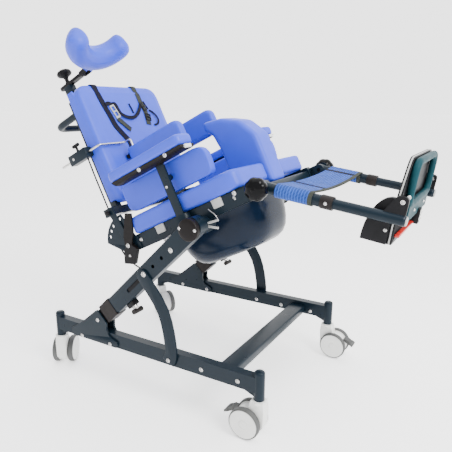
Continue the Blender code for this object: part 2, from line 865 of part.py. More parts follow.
def build_seat_cushion(seat, look):
    """A horseshoe: a straight-sided seat with an oval aperture open to the front."""
    start = math.asin(FRONT_GAP_HALF / APERTURE_HALF_WIDTH)
    oval = []
    for k in range(17):
        angle = -start - (2 * math.pi - 2 * start) * k / 16
        oval.append(
            (
                APERTURE_S + APERTURE_HALF_LENGTH * math.cos(angle),
                APERTURE_HALF_WIDTH * math.sin(angle),
            )
        )
    near = [
        (CUSHION_REAR, -CUSHION_HALF),
        (CUSHION_FRONT, -CUSHION_HALF),
        (CUSHION_FRONT, -FRONT_GAP_HALF),
    ]
    far = [(s, -y) for s, y in near[::-1]]
    near_radii = [0.020, 0.034, 0.012]
    radii = near_radii + [0.0] * len(oval) + near_radii[::-1]
    outline = (near + oval + far, radii, 4)
    levels = pad_levels(CUSHION_LOW, CUSHION_HIGH - 0.003, 0.009, 0.003)
    shape = pad(outline, levels, lambda a, b, h: (a, b, h))
    solid("seat_cushion", seat, look["foam"], [shape])


def build_deflector(seat, look):
    low = 0.044 + CLEAR
    slope_front = CUSHION_FRONT + 0.010
    axis = empty("deflector_axis", seat, (0.105, 0.0, CUSHION_HIGH))
    points = [
        (0.062, low),
        (slope_front, low),
        (slope_front + 0.002, 0.120),
        (0.180, 0.206),
        (0.142, 0.269),
        (0.080, 0.305),
        (0.010, 0.321),
        (0.003, 0.293),
        (0.027, 0.267),
        (0.036, 0.207),
        (0.034, 0.128),
        (0.060, 0.098),
    ]
    radii = [0.008, 0.010, 0.05, 0.05, 0.05, 0.05, 0.014, 0.012, 0.025, 0.03, 0.03, 0.01]
    outline = ([(s - 0.105, n - CUSHION_HIGH) for s, n in points], radii, 3)
    half = FRONT_GAP_HALF - 0.0025
    edge = 0.012
    levels = (
        (-half, edge),
        (-half + 0.3 * edge, 0.3 * edge),
        (-half + edge, 0.0),
        (half - edge, 0.0),
        (half - 0.3 * edge, 0.3 * edge),
        (half, edge),
    )
    shape = pad(outline, levels, lambda a, b, h: (a, h, b))
    solid("deflector", axis, look["foam"], [shape])


def oval_loop(rear, front, half, n, power=3.2, count=32):
    middle, reach = (rear + front) / 2, (front - rear) / 2
    loop = []
    for k in range(count):
        angle = 2 * math.pi * k / count
        c, s = math.cos(angle), math.sin(angle)
        loop.append(
            (
                middle + reach * math.copysign(abs(c) ** (2 / power), c),
                half * math.copysign(abs(s) ** (2 / power), s),
                n,
            )
        )
    return loop


def build_pan(seat, look):
    flange = SEAT_RAIL_Y - SEAT_RAIL_WIDTH / 2 - 0.004
    low = PAN_RIM - 0.006
    floor = PAN_RIM - PAN_DEPTH
    wall = PAN_WALL
    loops = [
        oval_loop(PAN_REAR, PAN_FRONT, flange, PAN_RIM, 6),
        oval_loop(PAN_REAR, PAN_FRONT, flange, low, 6),
        oval_loop(PAN_REAR + 0.004, PAN_FRONT - 0.004, PAN_HALF + 0.006, low, 4),
        oval_loop(PAN_REAR + 0.010, PAN_FRONT - 0.010, PAN_HALF, floor + 0.080, 3.6),
        oval_loop(PAN_REAR + 0.026, PAN_FRONT - 0.028, PAN_HALF - 0.014, floor + 0.030, 3.4),
        oval_loop(PAN_REAR + 0.060, PAN_FRONT - 0.060, PAN_HALF - 0.045, floor, 3.0),
        oval_loop(PAN_REAR + 0.120, PAN_FRONT - 0.120, PAN_HALF - 0.090, floor, 2.6),
        oval_loop(PAN_REAR + 0.120, PAN_FRONT - 0.120, PAN_HALF - 0.090, floor + wall, 2.6),
        oval_loop(PAN_REAR + 0.062, PAN_FRONT - 0.062, PAN_HALF - 0.047, floor + wall, 3.0),
        oval_loop(PAN_REAR + 0.030, PAN_FRONT - 0.032, PAN_HALF - 0.018, floor + 0.032, 3.4),
        oval_loop(PAN_REAR + 0.014, PAN_FRONT - 0.014, PAN_HALF - wall, floor + 0.081, 3.6),
        oval_loop(PAN_REAR + 0.010, PAN_FRONT - 0.010, PAN_HALF, PAN_RIM, 4),
    ]
    bm = bmesh.new()
    rings = [[bm.verts.new(p) for p in loop] for loop in loops]
    count = len(rings[0])
    for low_ring, high_ring in zip(rings, rings[1:] + rings[:1]):
        if low_ring is rings[6]:
            bm.faces.new(low_ring)
            bm.faces.new(high_ring[::-1])
            continue
        for i in range(count):
            j = (i + 1) % count
            bm.faces.new((low_ring[i], low_ring[j], high_ring[j], high_ring[i]))
    solid("commode_pan", seat, look["pan"], [tidy(bm)])


def build_armrests(seat, look):
    for side, sign in SIDES:
        axis = empty(f"armrest_axis_{side}", seat, (ARM_POST_S, sign * ARM_POST_Y, SEAT_RAIL_HIGH))
        s0, y0, n0 = ARM_POST_S, sign * ARM_POST_Y, SEAT_RAIL_HIGH

        def at(s, y, n, s0=s0, y0=y0, n0=n0):
            return (s - s0, y - y0, n - n0)

        half = ARM_POST_WIDTH / 2
        thick = ARM_POST_THICK / 2
        low = SEAT_RAIL_LOW + 0.010 + CLEAR
        post = box(-half, half, -thick, thick, low - n0, ARM_TRAY_LOW + 0.010 - n0)
        tray_loop = []
        for k in range(9):
            angle = math.pi + math.pi * k / 8
            tray_loop.append(
                (
                    sign * ARM_Y + 0.036 * math.cos(angle),
                    ARM_PAD_LOW - CLEAR + (ARM_PAD_LOW - CLEAR - ARM_TRAY_LOW) * math.sin(angle),
                )
            )
        loops = []
        for s in (ARM_REAR + 0.010, ARM_FRONT - 0.004):
            loops.append([at(s, y, n) for y, n in tray_loop])
        tray = loft(loops)
        panel_face = PANEL_Y + CLEAR
        boss = rod(
            at(ARM_POST_S, sign * panel_face, 0.175),
            at(ARM_POST_S, sign * ARM_POST_Y, 0.175),
            0.009,
        )
        solid(f"armrest_frame_{side}", axis, look["black"], [post, tray, boss])
        outline = (
            [
                (ARM_REAR, -ARM_HALF),
                (ARM_FRONT, -ARM_HALF),
                (ARM_FRONT, ARM_HALF),
                (ARM_REAR, ARM_HALF),
            ],
            0.022,
            4,
        )
        shape = pad(
            outline,
            pad_levels(ARM_PAD_LOW, ARM_PAD_HIGH - 0.003, 0.009, 0.003),
            lambda a, b, h, sign=sign, at=at: at(a, sign * ARM_Y + b, h),
        )
        solid(f"armrest_pad_{side}", axis, look["foam"], [shape])
        outline = (
            [
                (PANEL_REAR, PANEL_LOW),
                (PANEL_FRONT - 0.010, PANEL_LOW),
                (PANEL_FRONT, PANEL_HIGH),
                (PANEL_REAR, PANEL_HIGH),
            ],
            [0.035, 0.020, 0.055, 0.020],
            4,
        )
        edge = 0.010
        levels = (
            (PANEL_Y, 0.0010),
            (PANEL_Y - 0.002, 0.0),
            (PANEL_Y - PANEL_THICK + edge, 0.0),
            (PANEL_Y - PANEL_THICK + 0.3 * edge, 0.3 * edge),
            (PANEL_Y - PANEL_THICK, edge),
            (PANEL_Y - PANEL_THICK - 0.002, 2.2 * edge),
        )
        shape = pad(outline, levels, lambda a, b, h, sign=sign, at=at: at(a, sign * h, b))
        solid(f"side_panel_{side}", axis, look["foam"], [shape])


def build_back_frame(back, look):
    rear = BACK_REAR - CLEAR
    behind = rear - UPRIGHT_DEPTH
    half = SEAT_RAIL_WIDTH / 2
    plate_at = SEAT_RAIL_Y + half + SECTOR_THICK + CLEAR

    def at(s, y, n):
        return (s - HINGE_S, y, n - HINGE_N)

    def block(s0, s1, y0, y1, n0, n1):
        return box(s0 - HINGE_S, s1 - HINGE_S, min(y0, y1), max(y0, y1), n0 - HINGE_N, n1 - HINGE_N)

    edge = UPRIGHT_Y + half
    arm_end = plate_at + 0.005
    bar_low = BACK_LOW - 0.034
    bar_high = BACK_LOW - 0.006
    arm_rear = behind + 0.016 - HINGE_S
    arm_front = arm_rear + 0.026
    arm_top = bar_high - HINGE_N
    cover_at = CUSHION_HALF + 2 * CLEAR
    reach = max(edge, HANDLE_HALF + HANDLE_RADIUS + 0.004)
    adds = [block(behind, rear, -reach, reach, HANDLE_N - 0.014, HANDLE_N + 0.014)]
    adds.append(block(behind, rear, -arm_end, arm_end, bar_low, bar_high))
    cuts = []
    for sign in (-1, 1):
        inner = sign * (edge - SEAT_RAIL_WIDTH)
        adds.append(block(behind, rear, inner, sign * edge, bar_low + 0.004, BACK_HIGH - 0.030))
        link = (sign * (edge - 0.006), sign * (ROD_Y - 0.009))
        adds.append(block(behind, rear, *link, ROD_N - 0.014, ROD_N + 0.014))
        arm = rounded(
            [(-0.0125, -0.014), (0.0125, -0.014), (arm_front, arm_top), (arm_rear, arm_top)],
            [0.010, 0.010, 0.0, 0.0],
            3,
        )
        adds.append(prism_y(arm, sign * plate_at, sign * arm_end))
        elbow = (sign * (edge - 0.006), sign * arm_end)
        adds.append(block(behind, HINGE_S + arm_front, *elbow, bar_low, bar_high))
        stop = rounded(
            [(-0.050, -0.051), (-0.006, -0.067), (0.030, -0.024), (0.008, 0.004), (-0.027, -0.007)],
            0.005,
            2,
        )
        adds.append(prism_y(stop, sign * plate_at, sign * (plate_at + 0.014)))
        cover = rounded(
            [
                (-0.016, 0.004),
                (0.004, -0.014),
                (0.038, 0.029),
                (0.064, 0.092),
                (0.037, 0.102),
                (-0.007, 0.033),
            ],
            0.004,
            2,
        )
        adds.append(prism_y(cover, sign * cover_at, sign * (cover_at + 0.006)))
        clamp = (sign * (ROD_Y - 0.013), sign * (ROD_Y + 0.015))
        adds.append(block(-0.428, rear, *clamp, ROD_N - 0.018, ROD_N + 0.018))
        rod_y = sign * ROD_Y
        cuts.append(rod(at(-0.6, rod_y, ROD_N), at(-0.2, rod_y, ROD_N), ROD_RADIUS + RUN_CLEAR, 10))
        pin_in = sign * (plate_at - SECTOR_THICK - 0.007)
        pin_out = sign * (cover_at + 0.006)
        pin = rod((0, pin_in, 0), (0, pin_out, 0), 0.006, 12)
        adds.append(pin)
    clamp_top = HEAD_BAR_N - CLEAR
    adds.append(
        rod(at(behind + 0.010, 0, HANDLE_N), at(HEAD_CLAMP_S, 0, clamp_top - 0.018), 0.010, 10)
    )
    clamp = 0.018
    clamp_span = (HEAD_CLAMP_S - clamp, HEAD_CLAMP_S + clamp)
    adds.append(block(*clamp_span, -0.016, 0.016, clamp_top - 0.034, clamp_top))
    solid("backrest_frame", back, look["frame"], adds, cuts)


def flat_band(route, half, near, thick):
    """A strip of webbing laid along points (y, n) on the front of the back cushion."""
    path = smooth_path([(y, n, 0.0) for y, n in route], 3)
    left, right = [], []
    for i in range(len(path)):
        along = Vector(path[min(i + 1, len(path) - 1)]) - Vector(path[max(i - 1, 0)])
        side = Vector((-along.y, along.x, 0.0)).normalized() * half
        left.append(Vector(path[i]) + side)
        right.append(Vector(path[i]) - side)
    edge = left + right[::-1]
    return loft([[(s, p.x, p.y - HINGE_N) for p in edge] for s in (near, near + thick)])


def build_back_soft(back, look):
    outline = (
        [
            (-BACK_HALF, BACK_LOW),
            (BACK_HALF, BACK_LOW),
            (BACK_HALF, BACK_HIGH),
            (-BACK_HALF, BACK_HIGH),
        ],
        [0.030, 0.030, 0.055, 0.055],
        5,
    )
    levels = pad_levels(BACK_REAR, BACK_FRONT - 0.004, 0.012, 0.004)
    shape = pad(outline, levels, lambda a, b, h: (h - HINGE_S, a, b - HINGE_N))
    solid("backrest_cushion", back, look["foam"], [shape])
    front = BACK_FRONT + CLEAR - HINGE_S
    rear = BACK_REAR - CLEAR - HINGE_S
    top = BACK_HIGH + CLEAR - HINGE_N
    tail = BACK_HIGH - 0.026 - HINGE_N
    thick = STRAP_THICK
    adds = [box(rear - thick, rear, STRAP_RIGHT[0][0], STRAP_LEFT[0][0], tail, tail + 0.016)]
    for route in (STRAP_RIGHT, STRAP_LEFT):
        y0, y1 = route[0][0] - STRAP_HALF, route[0][0] + STRAP_HALF
        adds.append(box(rear - thick, rear, y0, y1, tail, top + thick))
        adds.append(box(rear - thick, front + thick, y0, y1, top, top + thick))
        adds.append(box(front, front + thick, y0, y1, top - 0.004, top + thick))
        adds.append(flat_band(route, STRAP_HALF, front, thick))
    adds.append(flat_band(STRAP_SLACK, SLACK_HALF, front, thick))
    solid("shoulder_harness", back, look["web"], adds)


def build_push_handle(back, look):
    start = BACK_REAR - CLEAR - UPRIGHT_DEPTH - CLEAR - HINGE_S
    reach = HANDLE_REACH - HINGE_S
    n = HANDLE_N - HINGE_N
    path = bend_path(
        [
            (start, -HANDLE_HALF, n),
            (reach, -HANDLE_HALF, n),
            (reach, HANDLE_HALF, n),
            (start, HANDLE_HALF, n),
        ],
        0.040,
        5,
    )
    solid("push_handle", back, look["frame"], [sweep(path, HANDLE_RADIUS, 10)])


def build_headrest(back, look):
    bar_axis = empty("head_bar_axis", back, (HEAD_CLAMP_S - HINGE_S, 0.0, HEAD_BAR_N - HINGE_N))
    hinge_s = HEAD_HINGE_S - HEAD_CLAMP_S
    half = 0.013
    thick = HEAD_BAR_THICK
    corners = [(-0.046, -half), (hinge_s, -half), (hinge_s, half), (-0.046, half)]
    bar = rounded(corners, [0.012, 0, 0, 0.012], 3)
    shape = loft([[(x, y, z) for x, y in bar] for z in (0.0, thick)])
    knuckle = turned([(-0.010, 0.010), (0.010, 0.010)], (hinge_s, 0.0, thick / 2), 14)
    bore = rod((hinge_s, -0.1, thick / 2), (hinge_s, 0.1, thick / 2), 0.004 + RUN_CLEAR, 10)
    notch = box(hinge_s - 0.013, hinge_s + 0.03, -0.03, -0.010, -0.01, 0.03)
    notch_2 = box(hinge_s - 0.013, hinge_s + 0.03, 0.010, 0.03, -0.01, 0.03)
    slot = rounded([(-0.030, -0.0072), (0.030, -0.0072), (0.030, 0.0072), (-0.030, 0.0072)], 0.007, 3)
    slot_cut = loft([[(x, y, z) for x, y in slot] for z in (-0.01, 0.03)])
    solid("headrest_bar", bar_axis, look["black"], [shape, knuckle], [notch, notch_2, bore, slot_cut])
    knob_axis = empty("head_knob_axis", back, (HEAD_CLAMP_S - HINGE_S, 0.0, HEAD_BAR_N - HINGE_N))
    lift = thick + CLEAR
    heights = [0.0004, lift, lift + 0.0001, 0.030, 0.042, 0.050, 0.062, 0.068]
    widths = [0.0058, 0.0058, 0.010, 0.008, 0.016, 0.030, 0.028, 0.016]
    knob = sweep([(0, 0, height) for height in heights], widths, 14)
    solid("headrest_knob", knob_axis, look["black"], [knob])
    head_axis = empty("head_tilt_axis", bar_axis, (hinge_s, 0.0, thick / 2))
    centre_s = HEAD_S - HEAD_HINGE_S
    centre_n = HEAD_N - HEAD_BAR_N - thick / 2
    radius = (HEAD_HALF**2 + HEAD_DEPTH**2) / (2 * HEAD_DEPTH)
    span = math.asin(HEAD_HALF / radius)
    if HEAD_DEPTH > radius:
        span = math.pi - span
    line, sizes = [], []
    steps = 12
    for k in range(-steps, steps + 1):
        angle = span * k / steps
        depth = radius * (1 - math.cos(angle))
        line.append(
            (
                centre_s + depth * math.cos(HEAD_LEAN),
                radius * math.sin(angle),
                centre_n + depth * math.sin(HEAD_LEAN),
            )
        )
        share = abs(k) / steps
        sizes.append(HEAD_RADIUS * (1.0 - 0.10 * share**2))
    first, last = Vector(line[0]), Vector(line[-1])
    ahead_first = (first - Vector(line[1])).normalized()
    ahead_last = (last - Vector(line[-2])).normalized()
    tip = sizes[0]
    for angle in (30, 55, 75):
        share = math.radians(angle)
        line.insert(0, tuple(first + ahead_first * tip * math.sin(share) * 0.75))
        sizes.insert(0, tip * math.cos(share))
        line.append(tuple(last + ahead_last * tip * math.sin(share) * 0.75))
        sizes.append(tip * math.cos(share))
    roll = sweep(line, sizes, 14)
    adds = [roll]
    reach = centre_s - HEAD_RADIUS * 0.7
    for sign in (-1, 1):
        y0, y1 = sign * (0.010 + CLEAR), sign * 0.017
        corners = [(-0.010, -0.010), (reach, -0.010), (reach + 0.020, 0.012), (-0.010, 0.010)]
        lug = rounded(corners, [0.009, 0, 0, 0.009], 3)
        adds.append(prism_y(lug, y0, y1))
    adds.append(rod((0, -0.014, 0), (0, 0.014, 0), 0.004, 10))
    solid("headrest_pad", head_axis, look["foam"], adds)


def build_trunk_supports(back, look):
    for side, sign in SIDES:
        axis = empty(f"trunk_axis_{side}", back, (ROD_BEND - HINGE_S, sign * ROD_Y, ROD_N - HINGE_N))

        def at(s, y, n, sign=sign):
            return (s - ROD_BEND, y - sign * ROD_Y, n - ROD_N)

        drop = TRUNK_DROP[side]
        pad_rear = ROD_BEND + 0.012
        route = [at(ROD_TAIL, sign * ROD_Y, ROD_N), at(ROD_BEND, sign * ROD_Y, ROD_N)]
        route.append(at(ROD_BEND, sign * TRUNK_Y, ROD_N))
        if TRUNK_HIGH - drop > ROD_N:
            route.append(at(pad_rear - CLEAR, sign * TRUNK_Y, ROD_N))
        else:
            route.append(at(pad_rear + 0.020, sign * TRUNK_Y, ROD_N))
            route.append(at(pad_rear + 0.020, sign * TRUNK_Y, TRUNK_HIGH - drop + CLEAR))
        path = bend_path(route, 0.009, 3)
        solid(f"trunk_rod_{side}", axis, look["steel"], [sweep(path, ROD_RADIUS, 8)])
        outline = (
            [
                (pad_rear, TRUNK_LOW - drop),
                (TRUNK_FRONT, TRUNK_LOW - drop),
                (TRUNK_FRONT, TRUNK_HIGH - drop),
                (pad_rear, TRUNK_HIGH - drop),
            ],
            [0.010, 0.028, 0.028, 0.006],
            4,
        )
        half = TRUNK_THICK / 2
        edge = 0.010
        levels = (
            (-half, edge),
            (-half + 0.3 * edge, 0.3 * edge),
            (-half + edge, 0.0),
            (half - edge, 0.0),
            (half - 0.3 * edge, 0.3 * edge),
            (half, edge),
        )
        shape = pad(outline, levels, lambda a, b, h, sign=sign, at=at: at(a, sign * TRUNK_Y + h, b))
        solid(f"trunk_pad_{side}", axis, look["foam"], [shape])
        knob_at = (-0.385 - HINGE_S, sign * ROD_Y, ROD_N + 0.018 + CLEAR - HINGE_N)
        knob_axis = empty(f"trunk_knob_axis_{side}", back, knob_at)
        stem = rod((0, 0, 0), (0, 0, 0.022), 0.0045, 8)
        grip = rod((-0.016, 0, 0.024), (0.016, 0, 0.024), 0.006, 8)
        solid(f"trunk_knob_{side}", knob_axis, look["black"], [stem, grip])


def build_legs(knee, extend, foot, look):
    for side, sign in SIDES:
        y = sign * LEG_Y
        eye_in = SEAT_RAIL_Y - SEAT_RAIL_WIDTH / 2 - 0.002
        eye_out = LEG_Y + LEG_OUTER - 0.0002
        eye = rod((0, sign * eye_in, 0), (0, sign * eye_out, 0), 0.019, 16)
        tube = sweep(
            [(0.006, y, 0), (COLLAR_FROM, y, 0), (COLLAR_FROM + 0.0001, y, 0), (COLLAR_TO, y, 0)],
            [LEG_OUTER, LEG_OUTER, COLLAR_RADIUS, COLLAR_RADIUS],
            16,
        )
        bore = rod((0.045, y, 0), (0.3, y, 0), LEG_INNER + RUN_CLEAR, 16)
        pin_hole = rod((0, sign * 0.15, 0), (0, sign * 0.3, 0), 0.006 + RUN_CLEAR, 12)
        solid(f"leg_tube_{side}", knee, look["frame"], [tube, eye], [bore, pin_hole])
        plate_out = KNEE_PLATE_Y + KNEE_PLATE_THICK + CLEAR
        knob_axis = empty(f"knee_knob_axis_{side}", knee, (0, 0, 0))
        ball = turned(
            [
                (sign * plate_out, 0.022),
                (sign * (plate_out + 0.010), 0.031),
                (sign * (plate_out + 0.022), KNOB_RADIUS),
                (sign * (plate_out + 0.034), 0.030),
                (sign * (plate_out + 0.042), 0.018),
                (sign * (plate_out + 0.045), 0.008),
            ],
            (0, 0, 0),
            18,
        )
        pin = rod((0, sign * (eye_in + 0.003), 0), (0, sign * (plate_out + 0.004), 0), 0.006, 12)
        solid(f"knee_knob_{side}", knob_axis, look["black"], [ball, pin])
        lower = sweep(
            [(0.075, y, 0), (LEG_END - 0.006, y, 0), (LEG_END, y, 0)],
            [LEG_INNER, LEG_INNER, LEG_INNER - 0.003],
            16,
        )
        bracket = rounded(
            [
                (FOOT_U - 0.052, -0.004),
                (LEG_END - 0.004, -0.004),
                (FOOT_U + 0.014, FOOT_V + 0.014),
                (FOOT_U - 0.014, FOOT_V + 0.014),
            ],
            [0, 0, 0.012, 0.012],
            3,
        )
        thick = 0.006
        hole = rod((FOOT_U, sign * 0.2, FOOT_V), (FOOT_U, sign * 0.27, FOOT_V), 0.006 + RUN_CLEAR, 12)
        solid(
            f"lower_leg_tube_{side}",
            extend,
            look["frame"],
            [lower, prism_y(bracket, y - thick, y + thick)],
            [hole],
        )
        guard_at = PLATE_HALF - 0.014
        guard_right = PLATE_U - CLEAR
        arc = []
        for k in range(9):
            angle = math.radians(95 + 10.6 * k)
            along = guard_right - 0.006 + 0.062 * math.cos(angle)
            arc.append((along, PLATE_LOW + 0.124 * math.sin(angle)))
        guard = [(guard_right, PLATE_LOW), (guard_right, PLATE_LOW + 0.124), *arc]
        flat = [(u - FOOT_U, v - FOOT_V) for u, v in guard]
        shape = prism_y(flat, sign * guard_at, sign * (guard_at + 0.019))
        solid(f"heel_guard_{side}", foot, look["black"], [shape])


def build_sling(knee, look):
    """A band round both leg tubes that sags between them."""
    inner = LEG_OUTER + CLEAR
    outer = inner + SLING_THICK
    upper, lower = [], []
    steps = 12
    for k in range(steps + 1):
        share = -1 + 2 * k / steps
        y = share * LEG_Y
        sag = SLING_SAG * (1 - share**2)
        v = inner + 0.5 * SLING_THICK - sag
        upper.append((y, v + SLING_THICK / 2))
        lower.append((y, v - SLING_THICK / 2))
    outline = upper + lower[::-1]
    band = loft([[(u, y, v) for y, v in outline] for u in (SLING_FROM, SLING_TO)])
    adds, cuts = [band], []
    for sign in (-1, 1):
        adds.append(rod((SLING_FROM, sign * LEG_Y, 0), (SLING_TO, sign * LEG_Y, 0), outer, 16))
        cuts.append(rod((SLING_FROM - 0.02, sign * LEG_Y, 0), (SLING_TO + 0.02, sign * LEG_Y, 0), inner, 16))
    solid("calf_sling", knee, look["mesh"], adds, cuts)


def build_foot(foot, look):
    top_half = LOOP_HALF - 0.005
    plate = rounded(
        [
            (-PLATE_HALF, PLATE_LOW),
            (PLATE_HALF, PLATE_LOW),
            (PLATE_HALF, 0.050),
            (top_half, PLATE_HIGH),
            (-top_half, PLATE_HIGH),
            (-PLATE_HALF, 0.050),
        ],
        [0.006, 0.006, 0.050, 0.045, 0.045, 0.050],
        5,
    )
    loops = []
    for u in (PLATE_U, PLATE_U + PLATE_THICK):
        loops.append([(u - FOOT_U, y, v - FOOT_V) for y, v in plate])
    solid("footplate", foot, look["black"], [loft(loops)])
    half = LOOP_HALF
    corners = [(half, LOOP_LOW), (half, LOOP_HIGH), (-half, LOOP_HIGH), (-half, LOOP_LOW)]
    ring = rounded(corners, [0.030, 0.042, 0.042, 0.030], 4)
    back = PLATE_U + PLATE_THICK + CLEAR + LOOP_RADIUS - FOOT_U
    path = [(back, y, v - FOOT_V) for y, v in ring]
    loop = sweep(path, LOOP_RADIUS, 10, closed=True)
    adds = [loop]
    for sign in (-1, 1):
        adds.append(rod((0, sign * (half - 0.002), 0), (0, sign * (LEG_Y + 0.007), 0), 0.006, 12))
    bar_at = PLATE_U + PLATE_THICK + CLEAR - FOOT_U
    band_low = LOOP_LOW - 0.046 - FOOT_V
    adds.append(box(bar_at, bar_at + 0.016, -half, half, band_low, LOOP_LOW - FOOT_V))
    adds.append(box(bar_at, bar_at + 0.024, 0.014, 0.040, band_low - 0.034, band_low + 0.012))
    solid("foot_loop", foot, look["teal"], adds)
    bar_low = -0.058 - FOOT_V
    bar_end = bar_at + 0.026
    bar_high = bar_low + 0.010
    corners = [(bar_at, bar_low), (bar_end, bar_low), (bar_end, bar_high), (bar_at, bar_high)]
    bar = rounded(corners, 0.003, 2)
    solid("release_bar", foot, look["red"], [prism_y(bar, -PLATE_HALF + 0.012, 0.010)])


def cable(name, parent, points, look, steps):
    curve = bpy.data.curves.new(name, "CURVE")
    curve.dimensions = "3D"
    curve.bevel_depth = CABLE_RADIUS
    curve.bevel_resolution = 2
    curve.use_fill_caps = True
    spline = curve.splines.new("POLY")
    path = smooth_path(points, steps)
    spline.points.add(len(path) - 1)
    for spot, point in zip(spline.points, path):
        spot.co = (*point, 1.0)
    curve.materials.append(look)
    made = bpy.data.objects.new(name, curve)
    bpy.context.scene.collection.objects.link(made)
    made.parent = parent
    return made


def build_cables(seat, back, look):
    """One cable lies on the backrest; the other hangs from the hinge sector to the column."""
    block_low = ROD_N - 0.018 - 2 * CLEAR - HINGE_N
    bar_high = BACK_LOW - 0.006 + 2 * CLEAR - HINGE_N
    behind = BACK_REAR - 0.014 - HINGE_S
    cable(
        "back_cable",
        back,
        [
            (behind, -ROD_Y - 0.002, block_low),
            (behind + 0.002, -ROD_Y - 0.006, block_low - 0.35 * (block_low - bar_high)),
            (behind + 0.006, -ROD_Y - 0.010, block_low - 0.70 * (block_low - bar_high)),
            (behind, -ROD_Y - 0.004, bar_high),
        ],
        look["black"],
        6,
    )
    inside = -(SEAT_RAIL_Y + SEAT_RAIL_WIDTH / 2 - 0.001 - CLEAR - CABLE_RADIUS)
    column = -(COLUMN_Y - COLUMN_WIDTH / 2 - CLEAR - CABLE_RADIUS)
    cable(
        "tilt_cable",
        seat,
        [
            (HINGE_S - 0.052, inside, HINGE_N + 0.075),
            (HINGE_S - 0.060, inside, HINGE_N + 0.030),
            (HINGE_S - 0.056, inside, HINGE_N - 0.020),
            (HINGE_S - 0.034, inside, HINGE_N - 0.060),
            (HINGE_S - 0.004, inside - 0.010, HINGE_N - 0.083),
            (HINGE_S + 0.030, column, HINGE_N - 0.092),
        ],
        look["black"],
        6,
    )


def centre_on_floor(root):
    """Moves the chair so that the origin is on the floor, at the middle of the whole object's plan."""
    bpy.context.view_layer.update()
    graph = bpy.context.evaluated_depsgraph_get()
    low, high = math.inf, -math.inf
    for obj in bpy.context.scene.objects:
        if obj.type == "EMPTY":
            continue
        held = obj.evaluated_get(graph)
        mesh = held.to_mesh()
        for vertex in mesh.vertices:
            x = (held.matrix_world @ vertex.co).x
            low, high = min(low, x), max(high, x)
        held.to_mesh_clear()
    root.location.x -= (low + high) / 2


def main():
    clear_scene()
    look = looks()
    root = empty("chair", None)
    build_base(root, look)
    build_column_feet(root, look)
    build_braces(root, look)
    build_castors(root, look)
    lift = empty("lift_axis", root, (PIVOT_X, 0.0, PIVOT_Z), turn_y=-COLUMN_TILT)
    build_columns(lift, look)
    seat = empty("tilt_axis", lift, (0, 0, 0), turn_y=COLUMN_TILT - SEAT_TILT)
    build_seat_frame(seat, look)
    build_seat_cushion(seat, look)
    build_deflector(seat, look)
    build_pan(seat, look)
    build_armrests(seat, look)
    back = empty("recline_axis", seat, (HINGE_S, 0.0, HINGE_N))
    build_back_frame(back, look)
    build_back_soft(back, look)
    build_push_handle(back, look)
    build_headrest(back, look)
    build_trunk_supports(back, look)
    knee = empty("knee_axis", seat, (KNEE_S, 0.0, KNEE_N), turn_y=LEG_DROP)
    extend = empty("leg_slide", knee)
    foot = empty("foot_axis", extend, (FOOT_U, 0.0, FOOT_V))
    build_legs(knee, extend, foot, look)
    build_sling(knee, look)
    build_foot(foot, look)
    build_cables(seat, back, look)
    centre_on_floor(root)


main()
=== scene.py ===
"""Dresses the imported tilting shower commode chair; laid out as a Blender add-on and run as a script."""

import json
import math

import bmesh
import bpy
from mathutils import Matrix, Vector
from mathutils.bvhtree import BVHTree


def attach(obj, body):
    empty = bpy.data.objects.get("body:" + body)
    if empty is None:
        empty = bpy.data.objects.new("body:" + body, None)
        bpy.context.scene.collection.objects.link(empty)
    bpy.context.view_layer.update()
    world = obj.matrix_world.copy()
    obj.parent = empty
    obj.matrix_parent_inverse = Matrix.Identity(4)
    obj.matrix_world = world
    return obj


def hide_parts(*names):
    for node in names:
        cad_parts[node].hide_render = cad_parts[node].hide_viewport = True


bl_info = {
    "name": "Tilting Shower Commode Chair",
    "version": (1, 0, 0),
    "blender": (4, 5, 0),
    "location": "View3D > Sidebar > Commode Chair",
    "description": "Builds the visible pieces of a tilting shower commode chair over its packed frame",
    "category": "Add Mesh",
}

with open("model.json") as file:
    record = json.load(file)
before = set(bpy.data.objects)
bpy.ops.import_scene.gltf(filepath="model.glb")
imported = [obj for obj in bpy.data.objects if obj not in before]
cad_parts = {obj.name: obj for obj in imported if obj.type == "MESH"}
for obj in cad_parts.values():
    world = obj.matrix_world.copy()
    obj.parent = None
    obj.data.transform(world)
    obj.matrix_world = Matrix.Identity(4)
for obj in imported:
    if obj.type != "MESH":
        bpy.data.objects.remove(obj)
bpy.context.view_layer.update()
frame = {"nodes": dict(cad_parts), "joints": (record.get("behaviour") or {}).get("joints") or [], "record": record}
NODES = frame["nodes"]
JOINTS = {joint["name"]: joint for joint in frame["joints"]}
BODY_OF = {
    node: body
    for body, nodes in frame["record"]["behaviour"]["bodies"].items()
    for node in nodes
}
SIDES = (("right", -1.0), ("left", 1.0))
CASTORS = ("front_right", "front_left", "rear_right", "rear_left")
SEAT_LEAN = math.radians(26.5)
COLUMN_LEAN = math.radians(44.0)
LEG_DROP = math.radians(7.5)
LOOKS = {}
SURFACES = {}
HINGE = Vector((-0.307, 0.0, 0.034))
RAIL_Y = 0.3025
RAIL_BOLTS = ((0.1662, 0.172), (0.2947, 0.172))
INNER_RAIL_BOLTS = ((0.164, 0.167), (0.291, 0.167), (0.0507, 0.167))
INNER_RAIL_SCREWS = ((0.251, 0.174),)
PLATE_BOLTS = ((-0.3383, 0.161), (-0.2053, 0.162), (-0.2573, 0.240))
BRACE_TOP_BOLT = ((-0.0436, 0.4466),)
BRACE_LOW_BOLT = ((0.0450, 0.1720),)
COLUMN_BOLT = ((0.059, 0.5395),)
KNEE_BOLT = ((0.241, 0.7215),)
HOOK_LINE = ((0.150, 0.664), (0.159, 0.658), (0.172, 0.651), (0.1835, 0.638))
LINK_ENDS = ((0.193, 0.6390), (0.193, 0.6145))
INNER_PLATE = (0.2796, 0.0081)
